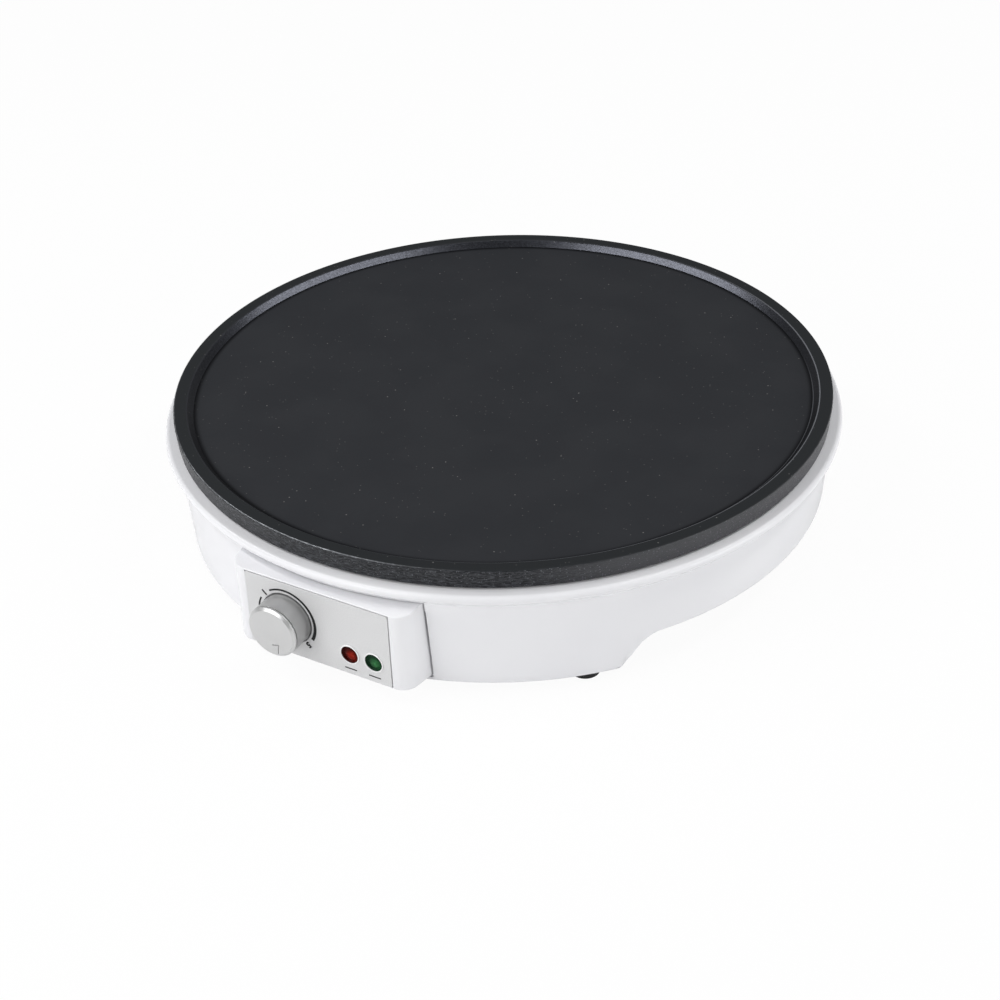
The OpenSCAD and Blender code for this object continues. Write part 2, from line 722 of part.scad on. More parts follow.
// An arc from angle a to b, with half widths wa and wb
module scale_arc(a, b, wa, wb) {
    steps = 24;
    inner = [for (i = [0:steps]) let (t = i / steps, g = a + (b - a) * t)
        (scale_r - wa * (1 - t) - wb * t) * [cos(g), sin(g)]];
    outer = [for (i = [steps:-1:0]) let (t = i / steps, g = a + (b - a) * t)
        (scale_r + wa * (1 - t) + wb * t) * [cos(g), sin(g)]];
    linear_extrude(height = scale_print) polygon(concat(inner, outer));
}

module lamp_bezels() {
    color([0.88, 0.88, 0.9]) for (x = lamp_xs) translate([x, 0, lamp_z]) to_front()
        rotate_extrude() polygon([
            [lens_d / 2 + 0.05, housing_back], [sleeve_d / 2, housing_back],
            [sleeve_d / 2, panel_y], [lamp_d / 2, panel_y], [lamp_d / 2, panel_y + 0.25],
            [lamp_d / 2 - 0.3, panel_y + 0.55], [lens_d / 2 + 0.05, panel_y + 0.3]]);
}

module lamp_lens(x) {
    translate([x, 0, lamp_z]) to_front() rotate_extrude() polygon([
        [0, lens_back], [lens_d / 2, lens_back], [lens_d / 2, panel_y - 1],
        [lens_d / 2 - 0.8, panel_y - 0.5], [lens_d / 4, panel_y - 0.1], [0, panel_y]]);
}

module red_lamp_lens() { color([0.65, 0.08, 0.03]) lamp_lens(lamp_xs[0]); }
module green_lamp_lens() { color([0.1, 0.45, 0.2]) lamp_lens(lamp_xs[1]); }

module lamp_holders() {
    color([0.9, 0.9, 0.88]) for (x = lamp_xs) difference() {
        front_bar(holder_d, holder_back, housing_back, x, lamp_z);
        front_bar(lens_d + 0.1, holder_back + 1.5, housing_back + eps, x, lamp_z);
        for (dx = [-1.6, 1.6])
            front_bar(1.4, holder_back - eps, holder_back + 2, x + dx, lamp_z);
    }
}

module neon_bulbs() {
    color([0.9, 0.9, 0.85]) for (x = lamp_xs) translate([x, 0, lamp_z]) to_front()
        rotate_extrude() polygon([
            [0, holder_back + 1.5], [2.4, holder_back + 1.5], [2.4, lens_back - 2.2],
            [1.6, lens_back - 1], [0, lens_back - 0.3]]);
}

// ---- knob and thermostat ----

module knob() {
    color([0.78, 0.78, 0.79]) translate([knob_x, 0, knob_z]) to_front() difference() {
        union() {
            difference() {
                rotate_extrude($fn = 96) polygon(rounded([
                    [0, knob_back, 0], [knob_d / 2 - 0.2, knob_back, 0],
                    [knob_d / 2, knob_back + 0.6, 0],
                    [knob_d / 2 - 0.1, panel_y + knob_reach * 0.3, 0],
                    [knob_face_d / 2, knob_front, 0.9], [0, knob_front, 0]]));
                translate([0, 0, knob_back - eps])
                    cylinder(d = knob_face_d - 2 * knob_t, h = knob_front - knob_t - knob_back + eps);
            }
            translate([0, 0, knob_back]) cylinder(d = hub_d, h = knob_front - knob_t - knob_back + eps);
            // raised pointer
            rotate([0, 0, pointer_az])
                translate([knob_face_d / 2 - pointer_in, 0, knob_front - eps])
                    linear_extrude(height = eps + pointer_h)
                        polygon([[-pointer_l, -pointer_w / 2], [-pointer_l, pointer_w / 2], [0, 0]]);
        }
        // bore with a flat, and a slot for the spring
        translate([0, 0, knob_back - eps]) difference() {
            cylinder(d = spindle_d + 2 * thread_play, h = knob_reach - knob_face_t + eps);
            translate([-spindle_d, spindle_flat + thread_play, 0])
                cube([2 * spindle_d, spindle_d, knob_reach]);
        }
        translate([-1.7, spindle_flat + 0.02, knob_back - eps])
            cube([3.4, 0.6, knob_reach - knob_face_t + eps]);
    }
}

module knob_spring() {
    color([0.7, 0.7, 0.7]) translate([knob_x - 1.5, -knob_front + 4, knob_z + spindle_flat + 0.07])
        cube([3, knob_reach - 4, 0.4]);
}

module thermostat_spindle() {
    color([0.78, 0.72, 0.5]) translate([knob_x, 0, knob_z]) to_front() difference() {
        translate([0, 0, pin_start]) cylinder(d = spindle_d, h = knob_front - spindle_sink - pin_start);
        translate([-spindle_d, spindle_flat, knob_back - 1])
            cube([2 * spindle_d, spindle_d, 2 * knob_reach]);
        translate([0, 0, bush_front + 0.1]) ring(spindle_d, spindle_d / 2 - 0.5, 0.9);
    }
}

module spindle_clip() {
    color([0.6, 0.6, 0.62]) translate([knob_x, 0, knob_z]) to_front() difference() {
        translate([0, 0, bush_front + 0.15]) ring(spindle_d / 2 + 2, spindle_d / 2 - 0.45, 0.8);
        translate([-spindle_d / 2 + 0.9, -spindle_d * 1.5, bush_front - eps])
            cube([spindle_d - 1.8, spindle_d * 1.5, 3]);
    }
}

module thermostat_pin() {
    color([0.95, 0.93, 0.88])
        front_bar(pin_d - 2 * run_play, pin_end, pin_start - 0.05, knob_x, knob_z);
}

module thermostat_bush() {
    color([0.8, 0.68, 0.38]) translate([knob_x, 0, knob_z]) to_front() difference() {
        union() {
            translate([0, 0, bush_back]) cylinder(d = bush_d, h = bush_front - bush_back);
            translate([0, 0, frame_y]) cylinder(d = bush_d + 4, h = 2);
        }
        translate([0, 0, pin_start - 0.05])
            cylinder(d = spindle_d + 2 * run_play, h = bush_front - pin_start + 1);
        translate([0, 0, bush_back - eps]) cylinder(d = pin_d, h = 20);
    }
}

module thermostat_bracket() {
    low = knob_z - frame_drop;
    left = stack_x - frame_side;
    frame_w = knob_x + frame_side - left;
    color([0.72, 0.73, 0.75]) difference() {
        union() {
            translate([left, -frame_y, low]) cube([frame_w, frame_t, dish_z - low]);
            translate([left, -frame_y, dish_z - frame_t]) cube([frame_w, tab_l, frame_t]);
        }
        front_bar(bush_d + 0.1, frame_back - 1, frame_y + 1, knob_x, knob_z);
        front_bar(rivet_d + 0.1, frame_back - 1, frame_y + 1, stack_x, knob_z);
        translate([knob_x, -screw_y, dish_z - frame_t - eps])
            cylinder(d = plate_screw_d + 2 * hole_play, h = frame_t + 2 * eps);
    }
}

module bracket_screw() {
    color([0.7, 0.7, 0.72]) translate([knob_x, -screw_y, 0])
        upward_screw(plate_screw_d, plate_screw_d * 1.8, 2.2, dish_z - frame_t, under_z + thread_depth - 0.5);
}

module stack_spacer(from, to) {
    difference() {
        front_bar(stack_d, to, from, stack_x, knob_z);
        front_bar(rivet_d + 0.1, to - 1, from + 1, stack_x, knob_z);
    }
}

module thermostat_insulators() {
    color([0.94, 0.92, 0.87]) {
        stack_spacer(frame_back, moving_y);
        stack_spacer(moving_y - blade_t, fixed_y);
        stack_spacer(fixed_y - blade_t, bimetal_y);
    }
}

module thermostat_rivet() {
    color([0.75, 0.75, 0.76]) {
        front_bar(rivet_d, bimetal_y - bimetal_t - eps, frame_y + eps, stack_x, knob_z);
        for (y = [frame_y, bimetal_y - bimetal_t - rivet_head_h])
            front_bar(rivet_head_d, y, y + rivet_head_h, stack_x, knob_z);
    }
}

// A flat leaf whose front face is at distance y, with a tab for its wire if it has one
module blade(y, t, right, tab) {
    difference() {
        union() {
            translate([blade_left, -y, knob_z - blade_w / 2])
                cube([right - blade_left, t, blade_w]);
            if (tab) translate([blade_left - blade_tab, -y, knob_z - tab_w / 2])
                cube([blade_tab + eps, t, tab_w]);
        }
        front_bar(rivet_d + 0.1, y - t - 1, y + 1, stack_x, knob_z);
    }
}

module moving_blade() { color([0.8, 0.6, 0.35]) blade(moving_y, blade_t, blade_right, true); }
module fixed_blade() { color([0.8, 0.6, 0.35]) blade(fixed_y, blade_t, blade_right, true); }
module bimetal_blade() { color([0.62, 0.6, 0.56]) blade(bimetal_y, bimetal_t, knob_x + 4, false); }

module switch_contacts() {
    color([0.9, 0.9, 0.88]) for (y = [moving_y - blade_t - contact_t, fixed_y])
        front_bar(3.4, y, y + contact_t, contact_x, knob_z);
}

// ---- mains inlet, fuse and wiring ----

module cord_gland() {
    land = gland_y + gland_flange_t;
    color([0.12, 0.12, 0.13]) translate([0, land, gland_z]) to_front() difference() {
        union() {
            cylinder(d = gland_flange_d, h = gland_flange_t);
            cylinder(d = gland_d - 0.2, h = gland_flange_t + wall_t + gland_barb_gap);
            translate([0, 0, gland_flange_t + wall_t + gland_barb_gap])
                cylinder(d1 = gland_d + 2, d2 = gland_d - 1, h = gland_barb_l);
        }
        translate([0, 0, -eps]) cylinder(d = cord_bore_d, h = 20);
    }
}

module cord_clamp() {
    z = cover_top + clamp_post_h;
    color([0.85, 0.85, 0.83]) difference() {
        translate([-clamp_half - 4, clamp_y - 4, z]) cube([2 * clamp_half + 8, 8, 4]);
        translate([0, clamp_y + 5, z]) to_front() cylinder(d = cord_bore_d - 0.6, h = 10);
        for (x = [-clamp_half, clamp_half]) translate([x, clamp_y, z - eps])
            cylinder(d = case_screw_d + 2 * hole_play, h = 6);
    }
}

module clamp_screws() {
    z = cover_top + clamp_post_h + 4;
    color([0.7, 0.7, 0.72]) for (x = [-clamp_half, clamp_half]) translate([x, clamp_y, 0]) {
        translate([0, 0, z]) cylinder(d = case_screw_d * 2, h = 1.8);
        translate([0, 0, z - 11]) cylinder(d = case_screw_d - 2 * thread_play, h = 11.5);
    }
}

module terminal_block() {
    color([0.95, 0.95, 0.93]) difference() {
        translate([-block_w / 2, block_y, cover_top]) cube([block_w, block_l, block_h]);
        for (x = pole_xs) {
            translate([x, block_y + block_l + eps, pole_z]) to_front()
                cylinder(d = insert_d + 0.1, h = block_l + 2 * eps);
            for (y = [pole_screw_in, block_l - pole_screw_in]) translate([x, block_y + y, pole_z])
                cylinder(d = pole_screw_d + 1.2, h = block_h);
        }
    }
}

module terminal_inserts() {
    color([0.82, 0.7, 0.4]) for (x = pole_xs) difference() {
        translate([x, block_y + block_l - 1, pole_z]) to_front() cylinder(d = insert_d, h = block_l - 2);
        translate([x, block_y + block_l, pole_z]) to_front()
            cylinder(d = insert_bore_d, h = block_l);
        for (y = [pole_screw_in, block_l - pole_screw_in]) translate([x, block_y + y, pole_z])
            cylinder(d = pole_screw_d, h = block_h);
    }
}

module terminal_screws() {
    color([0.7, 0.7, 0.72]) for (x = pole_xs, y = [pole_screw_in, block_l - pole_screw_in])
        translate([x, block_y + y, pole_z + insert_bore_d / 2 - 0.2])
            cylinder(d = pole_screw_d - 0.1, h = pole_screw_l);
}

module thermal_fuse() {
    color([0.9, 0.88, 0.82]) translate([fuse_x + fuse_pitch, fuse_y + fuse_l / 2, fuse_z]) to_front() {
        cylinder(d = fuse_d, h = fuse_l);
        translate([0, 0, -fuse_lead_l]) cylinder(d = fuse_lead_d, h = fuse_l + 2 * fuse_lead_l);
    }
}

module fuse_clamp() {
    r = fuse_d / 2 + 0.05;
    color([0.72, 0.73, 0.75]) difference() {
        translate([0, fuse_y + clamp_w / 2, 0]) to_front() linear_extrude(height = clamp_w)
            difference() {
                union() {
                    translate([fuse_x - 6, dish_z - clamp_t])
                        square([fuse_pitch - r + 6, clamp_t]);
                    translate([fuse_x + fuse_pitch, fuse_z]) circle(r + clamp_t);
                    translate([fuse_x + fuse_pitch - r - clamp_t, fuse_z])
                        square([2 * (r + clamp_t), dish_z - fuse_z]);
                }
                translate([fuse_x + fuse_pitch, fuse_z]) circle(r);
                translate([fuse_x + fuse_pitch - r, fuse_z]) square([2 * r, 10]);
            }
        translate([fuse_x, fuse_y, dish_z - clamp_t - eps])
            cylinder(d = plate_screw_d + 2 * hole_play, h = 3);
    }
}

module fuse_screw() {
    color([0.7, 0.7, 0.72]) translate([fuse_x, fuse_y, 0])
        upward_screw(plate_screw_d, plate_screw_d * 1.8, 2.2, dish_z - clamp_t, under_z + thread_depth - 0.5);
}

module earth_screw() {
    color([0.75, 0.68, 0.4]) translate([0, earth_y, 0])
        upward_screw(plate_screw_d, plate_screw_d * 1.8, 2.2, dish_z, under_z + thread_depth - 0.5);
}

// A push-on connector that opens upwards, over a flat tab
module spade() {
    difference() {
        translate([-tab_w / 2 - 0.7, -spade_t / 2, 0]) cube([tab_w + 1.4, spade_t, spade_l]);
        translate([-tab_w / 2 - 0.1, -tab_t / 2 - 0.05, spade_floor])
            cube([tab_w + 0.2, tab_t + 0.1, spade_l]);
    }
}

module spade_connectors() {
    color([0.82, 0.8, 0.74]) {
        for (x = [-end_x, end_x]) translate([x, end_y, spade_z]) spade();
        for (lug = [moving_lug, fixed_lug]) translate(lug) rotate([0, 90, 0]) spade();
    }
}

// A route whose inner corners are rounded, each over a length of bend
function bent(pts, bend) = [for (i = [0:len(pts) - 1])
    each (i == 0 || i == len(pts) - 1) ? [pts[i]]
        : let (b = pts[i], reach = min(bend, norm(pts[i - 1] - b) / 2.2, norm(pts[i + 1] - b) / 2.2),
               a = b + unit(pts[i - 1] - b) * reach, c = b + unit(pts[i + 1] - b) * reach)
          [for (k = [0:ring_steps]) let (t = k / ring_steps)
              a * (1 - t) * (1 - t) + b * 2 * t * (1 - t) + c * t * t]];

// A round wire along a route
module wire(route) {
    pts = bent(route, 8);
    n = len(pts);
    up = unit([0.37, 0.21, 0.9]);
    rings = [for (i = [0:n - 1])
        let (t = unit(pts[min(i + 1, n - 1)] - pts[max(i - 1, 0)]),
             u = unit(cross(t, up)), v = cross(t, u))
        each [for (k = [0:wire_sides - 1]) let (g = 360 * k / wire_sides)
            pts[i] + wire_d / 2 * (u * cos(g) + v * sin(g))]];
    sides = [for (i = [0:n - 2], k = [0:wire_sides - 1])
        let (a = i * wire_sides + k, b = i * wire_sides + (k + 1) % wire_sides)
        [a, a + wire_sides, b + wire_sides, b]];
    caps = [[for (k = [0:wire_sides - 1]) k],
            [for (k = [wire_sides - 1:-1:0]) (n - 1) * wire_sides + k]];
    polyhedron(rings, concat(sides, caps));
}

module live_wire() {
    color([0.45, 0.25, 0.12]) wire([
        [-2 * pole_pitch, pole_y, pole_z], [-2 * pole_pitch, block_y - 10, pole_z],
        [-deck_r / 3, deck_r / 2, wire_z], [-deck_r / 2, 0, wire_z],
        [-deck_r / 2, -deck_r * 0.6, wire_z], moving_lug + [-12, 0, wire_z - knob_z + 4],
        moving_lug + [-12, 0, 0], moving_lug]);
}

module switched_wire() {
    color([0.1, 0.1, 0.1]) wire([
        fixed_lug, fixed_lug + [-8, 0, 0], fixed_lug + [-4, 14, -6],
        [0, -deck_r * 0.6, knob_z - 8], [deck_r / 3, -deck_r * 0.4, wire_z + 8],
        [deck_r / 2, -deck_r / 6, wire_z + 16], fuse_front + [0, -12, 0], fuse_front]);
}

module fused_wire() {
    color([0.85, 0.85, 0.85]) wire([
        fuse_rear, fuse_rear + [0, 12, 0], [fuse_x + 5, end_y - 17, pole_z + 5],
        [end_x + 12, end_y - 6, spade_z - 8], [end_x, end_y, spade_z - 8],
        [end_x, end_y, spade_z]]);
}

module neutral_wire() {
    color([0.15, 0.3, 0.6]) wire([
        [-pole_pitch, pole_y, pole_z], [-pole_pitch, end_y + 6, pole_z],
        [-end_x, end_y, pole_z], [-end_x, end_y, spade_z]]);
}

module earth_wire() {
    color([0.3, 0.55, 0.2]) wire([
        [0, pole_y, pole_z], [0, block_y - 8, pole_z], [0, earth_y + 19, wire_z],
        [0, earth_y + 6, wire_z], [0, earth_y, wire_z + 8], [0, earth_y, dish_z - 2.2]]);
}

module lamp_leads() {
    color([0.85, 0.2, 0.15]) for (i = [0, 1]) let (x = lamp_xs[i], pole = (i + 1) * pole_pitch)
        wire([[x, -holder_back, lamp_z], [x, -holder_back + 8, lamp_z],
            [x + 1, -holder_back + 16, wire_z], [pole + 6, 0, wire_z], [pole, earth_y, wire_z],
            [pole, block_y - 8, wire_z], [pole, block_y - 2, pole_z], [pole, pole_y, pole_z]]);
}

cooking_plate();
heating_element();
element_terminals();
element_bushes();
heat_shield();
base_shell();
bottom_cover();
plate_screws();
cover_screws();
rubber_feet();
control_housing();
housing_screws();
control_panel();
heat_scale();
knob();
knob_spring();
thermostat_spindle();
spindle_clip();
thermostat_pin();
thermostat_bush();
thermostat_bracket();
thermostat_insulators();
thermostat_rivet();
moving_blade();
fixed_blade();
bimetal_blade();
switch_contacts();
bracket_screw();
lamp_bezels();
red_lamp_lens();
green_lamp_lens();
lamp_holders();
neon_bulbs();
cord_gland();
cord_clamp();
clamp_screws();
terminal_block();
terminal_inserts();
terminal_screws();
thermal_fuse();
fuse_clamp();
fuse_screw();
earth_screw();
spade_connectors();
live_wire();
switched_wire();
fused_wire();
neutral_wire();
earth_wire();
lamp_leads();
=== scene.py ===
import json
import math

import bmesh
import bpy
from mathutils import Matrix, Vector

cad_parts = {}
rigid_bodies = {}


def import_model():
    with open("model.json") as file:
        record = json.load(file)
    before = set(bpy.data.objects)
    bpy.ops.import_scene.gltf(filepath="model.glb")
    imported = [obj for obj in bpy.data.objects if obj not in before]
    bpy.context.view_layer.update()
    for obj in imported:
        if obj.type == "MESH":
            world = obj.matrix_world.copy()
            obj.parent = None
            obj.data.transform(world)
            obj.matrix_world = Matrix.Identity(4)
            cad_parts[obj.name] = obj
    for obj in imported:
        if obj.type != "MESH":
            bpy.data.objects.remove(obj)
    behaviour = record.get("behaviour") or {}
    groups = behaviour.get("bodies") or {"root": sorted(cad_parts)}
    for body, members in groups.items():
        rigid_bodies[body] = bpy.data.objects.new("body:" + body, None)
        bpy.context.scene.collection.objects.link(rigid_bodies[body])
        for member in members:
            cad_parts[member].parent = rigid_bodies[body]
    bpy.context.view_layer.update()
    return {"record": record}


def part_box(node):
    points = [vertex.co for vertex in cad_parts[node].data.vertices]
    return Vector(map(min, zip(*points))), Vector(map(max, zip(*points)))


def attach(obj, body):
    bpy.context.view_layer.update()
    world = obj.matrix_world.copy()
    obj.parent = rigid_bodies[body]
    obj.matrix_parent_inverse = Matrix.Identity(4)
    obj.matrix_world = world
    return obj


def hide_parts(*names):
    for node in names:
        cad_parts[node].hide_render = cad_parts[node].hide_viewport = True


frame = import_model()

# Round electric crepe maker: a non-stick hotplate on a low white body, with a front
# housing that carries a thermostat knob and two pilot lamps. Metres. The plate's axis is
# Z, the feet stand on z = 0 and the panel faces -Y.

bpy.ops.object.select_all(action='DESELECT')
mm = 0.001

# ---- sizes ----

plate_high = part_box("cooking_plate")[1]
shell_low, shell_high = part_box("base_shell")
housing_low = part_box("control_housing")[0]
panel_low, panel_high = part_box("control_panel")
knob_low, knob_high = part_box("knob")
bezel_low, bezel_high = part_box("lamp_bezels")
foot_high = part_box("rubber_feet")[1]
gland_low, gland_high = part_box("cord_gland")
shield_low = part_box("heat_shield")[0]
element_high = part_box("heating_element")[1]

plate_r = plate_high.x
rim_z = plate_high.z
side_z = shell_high.z + 0.6 * mm         # lower edge of the plate's side
side_draft = 0.8 * mm
rim_w = 6 * mm
rim_slope = 2.9 * mm
rim_depth = 2.9 * mm
rim_wall = 5 * mm
surface_r = plate_r - rim_w - rim_slope
surface_z = rim_z - rim_depth
plate_t = 4 * mm
under_z = surface_z - plate_t

lip_r = shell_high.x
lip_z = shell_high.z
lip_edge_z = lip_z - 3.5 * mm            # foot of the lip's upright edge
lip_low_z = lip_edge_z - 4.4 * mm        # where the slope under the lip meets the wall
wall_r = lip_r - 4.6 * mm
grip_z = 19.5 * mm                       # top of the hand grips
grip_r = wall_r - 1.8 * mm               # the wall's radius there
skirt_r = grip_r - 0.9 * mm
skirt_z = shell_low.z
wall_t = 2.4 * mm
deck_z = lip_z - 1.4 * mm
deck_t = 2 * mm
deck_r = plate_r - 30 * mm
seat_r = plate_r - side_draft - 3 * mm   # where the lip steps down to the deck
grip_half = 87.7 * mm
grip_run = 9.2 * mm
pocket_x = plate_r - 44 * mm
cover_top = skirt_z + 4 * mm
wing_top = grip_z + 3 * mm
screw_r = deck_r + 10 * mm               # pitch radius of the plate's screws
screw_turns = (60, 120, 240, 300)        # where they are, as turns from the front
post_r = skirt_r - wall_t - 11.9 * mm    # pitch radius of the posts for the cover's screws
case_thread_r = 1.5 * mm                 # thread of the cover's and housing's screws

panel_w = panel_high.x - panel_low.x
panel_h = panel_high.z - panel_low.z
panel_t = 1 * mm
panel_z = (panel_low.z + panel_high.z) / 2
panel_y = panel_low.y                    # the panel's face
housing_y = housing_low.y                # the housing's front border
housing_half = 42.7 * mm
housing_flare = 2.4 * mm
housing_back_y = -138.95 * mm
housing_slope = 0.12
housing_front_top = panel_high.z + 0.7 * mm
housing_corner = 6 * mm
housing_t = 2 * mm
window_w = 67 * mm
window_h = housing_front_top - housing_low.z - 8 * mm
ear_x = window_w / 2 + 3.5 * mm          # the housing's screws
ear_dz = window_h / 2 - 1.4 * mm
ears = [(x, panel_z + dz) for x in (-ear_x, ear_x) for dz in (-ear_dz, ear_dz)]

knob_x = (knob_low.x + knob_high.x) / 2
knob_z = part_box("thermostat_spindle")[0].z + 3 * mm
knob_r = (knob_high.x - knob_low.x) / 2
knob_face_r = knob_r - 0.1 * mm
knob_front = -panel_y + 11.6 * mm        # distances in front of the plate's axis
knob_back = -knob_high.y
knob_hole_r = knob_r + 0.5 * mm
spindle_hole_r = 6 * mm

lamp_z = (bezel_low.z + bezel_high.z) / 2
bezel_r = (bezel_high.z - bezel_low.z) / 2
lamp_hole_r = bezel_r - 0.15 * mm
lens_r = bezel_r - 0.6 * mm
lamp_xs = [(low.x + high.x) / 2 for low, high in (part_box("red_lamp_lens"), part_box("green_lamp_lens"))]

foot_r = 6.5 * mm
foot_stem_r = 2.5 * mm
foot_xy = Vector((foot_high.x - foot_r, foot_high.y - foot_r))
gland_z = (gland_low.z + gland_high.z) / 2
gland_r = (gland_high.x - gland_low.x) / 2

same_place = 1e-6                        # corners this close are one corner
weld = 1e-7                              # points this close are merged

# ---- modelling helpers ----


def start(name, primitive, **settings):
    """Adds a primitive, names it and opens it for editing."""
    primitive(**settings)
    piece = bpy.context.object
    piece.name = name
    bpy.ops.object.transform_apply(location=True, rotation=True, scale=True)
    bpy.ops.object.mode_set(mode='EDIT')
    return piece


def done(piece):
    """Closes a piece and puts its turn and place into its mesh."""
    bpy.ops.object.mode_set(mode='OBJECT')
    bpy.ops.object.transform_apply(location=True, rotation=True, scale=True)
    return piece


def only(piece):
    """Selects a piece alone and makes it the active one."""
    bpy.ops.object.select_all(action='DESELECT')
    piece.select_set(True)
    bpy.context.view_layer.objects.active = piece


def reopen(piece):
    """Opens a finished piece for editing again."""
    only(piece)
    bpy.ops.object.mode_set(mode='EDIT')


def pick(piece, kind, test):
    """Selects the vertices, edges or faces that pass a test on their place or normal."""
    bpy.ops.mesh.select_mode(type={'verts': 'VERT', 'edges': 'EDGE', 'faces': 'FACE'}[kind])
    bpy.ops.mesh.select_all(action='DESELECT')
    mesh = bmesh.from_edit_mesh(piece.data)
    for item in getattr(mesh, kind):
        if test(item):
            item.select_set(True)
    mesh.select_flush_mode()
    bmesh.update_edit_mesh(piece.data)


def middle(item):
    """The middle of an edge or a face."""
    return sum((v.co for v in item.verts), Vector()) / len(item.verts)


def draw(name, places):
    """Opens a new piece that is a line from place to place."""
    piece = start(name, bpy.ops.mesh.primitive_plane_add, size=mm, location=places[0])
    bpy.ops.mesh.select_mode(type='VERT')
    bpy.ops.mesh.merge(type='CENTER')
    for here, there in zip(places, places[1:]):
        step = [b - a for a, b in zip(here, there)]
        bpy.ops.mesh.extrude_region_move(TRANSFORM_OT_translate={"value": step})
    return piece


def round_corners(piece, places, radii, segments):
    """Rounds the corners of a line, each to its own radius."""
    places = [Vector(p) for p in places]
    for i, radius in enumerate(radii):
        if radius:
            here = places[i]
            half = (places[i - 1] - here).angle(places[(i + 1) % len(places)] - here) / 2
            pick(piece, 'verts', lambda v: (v.co - here).length < same_place)
            bpy.ops.mesh.bevel(offset=radius / math.tan(half), segments=segments, affect='VERTICES')


def lathe(name, outline, steps=256, closed=False):
    """Spins an outline of (radius, height, rounding) corners round the Z axis."""
    places = [(r, 0, z) for r, z, _ in outline]
    piece = draw(name, places)
    if closed:
        ends = Vector(places[0]), Vector(places[-1])
        pick(piece, 'verts', lambda v: min((v.co - end).length for end in ends) < same_place)
        bpy.ops.mesh.edge_face_add()
    round_corners(piece, places, [rounding for _, _, rounding in outline], 6)
    bpy.ops.mesh.select_all(action='SELECT')
    bpy.ops.mesh.spin(steps=steps, angle=2 * math.pi, center=(0, 0, 0), axis=(0, 0, 1))
    bpy.ops.mesh.select_all(action='SELECT')
    bpy.ops.mesh.remove_doubles(threshold=weld)
    bpy.ops.mesh.normals_make_consistent(inside=False)
    return done(piece)


def place(piece, turn=(0, 0, 0), move=(0, 0, 0)):
    """Turns and moves a finished piece, and applies both."""
    piece.rotation_euler = [math.radians(a) for a in turn]
    piece.location = move
    only(piece)
    bpy.ops.object.transform_apply(location=True, rotation=True, scale=True)
    return piece


def copied(piece, name, turn=(0, 0, 0), move=(0, 0, 0)):
    """A copy of a piece with its own mesh."""
    only(piece)
    bpy.ops.object.duplicate(linked=False)
    other = bpy.context.object
    other.name = name
    return place(other, turn, move)


def joined(name, pieces):
    """Several pieces made one object."""
    bpy.ops.object.select_all(action='DESELECT')
    for piece in pieces:
        piece.select_set(True)
    bpy.context.view_layer.objects.active = pieces[0]
    bpy.ops.object.join()
    pieces[0].name = name
    return pieces[0]


def combine(piece, other, operation):
    """Joins another solid to a piece, or cuts it away, and removes the other."""
    bpy.ops.object.select_all(action='DESELECT')
    bpy.context.view_layer.objects.active = piece
    bpy.ops.object.modifier_add(type='BOOLEAN')
    change = piece.modifiers[-1]
    change.operation = operation
    change.solver = 'EXACT'
    change.object = other
    bpy.ops.object.modifier_apply(modifier=change.name)
    bpy.data.objects.remove(other, do_unlink=True)


def cut(piece, *others):
    """Cuts other solids out of a piece."""
    for other in others:
        combine(piece, other, 'DIFFERENCE')


def add(piece, *others):
    """Joins other solids to a piece."""
    for other in others:
        combine(piece, other, 'UNION')


def upright_bar(radius, x, y, low, high, sides=48):
    """A round bar along Z."""
    start("bar", bpy.ops.mesh.primitive_cylinder_add, vertices=sides, radius=radius,
          depth=high - low, location=(x, y, (low + high) / 2))
    return done(bpy.context.object)


def front_bar(radius, x, z, near, far, sides=64):
    """A round bar along Y, between two distances in front of the plate's axis."""
    start("bar", bpy.ops.mesh.primitive_cylinder_add, vertices=sides, radius=radius,
          depth=far - near, location=(x, -(near + far) / 2, z), rotation=(math.pi / 2, 0, 0))
    return done(bpy.context.object)


def block(low, high):
    """A box between two corners."""
    low, high = Vector(low), Vector(high)
    start("block", bpy.ops.mesh.primitive_cube_add, size=1, location=(low + high) / 2, scale=high - low)
    return done(bpy.context.object)


def smooth(piece, angle=35):
    """Shades a piece smooth between its edges, with flat faces kept flat."""
    only(piece)
    bpy.ops.object.shade_smooth_by_angle(angle=math.radians(angle))
    bpy.ops.object.modifier_add(type='WEIGHTED_NORMAL')
    piece.modifiers[-1].keep_sharp = True
    bpy.ops.object.modifier_apply(modifier=piece.modifiers[-1].name)
    return piece


def fit(piece, body, finish, replaces=()):
    """Puts a finished piece on its body, with its finish, in the place of CAD nodes."""
    smooth(piece)
    piece.data.materials.clear()
    piece.data.materials.append(finish)
    for face in piece.data.polygons:
        face.material_index = 0
    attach(piece, body)
    if replaces:
        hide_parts(*replaces)


def bearing(angle, radius):
    """A point at an angle from the front, positive towards +X."""
    turn = math.radians(angle)
    return radius * math.sin(turn), -radius * math.cos(turn)


# ---- shader helpers ----


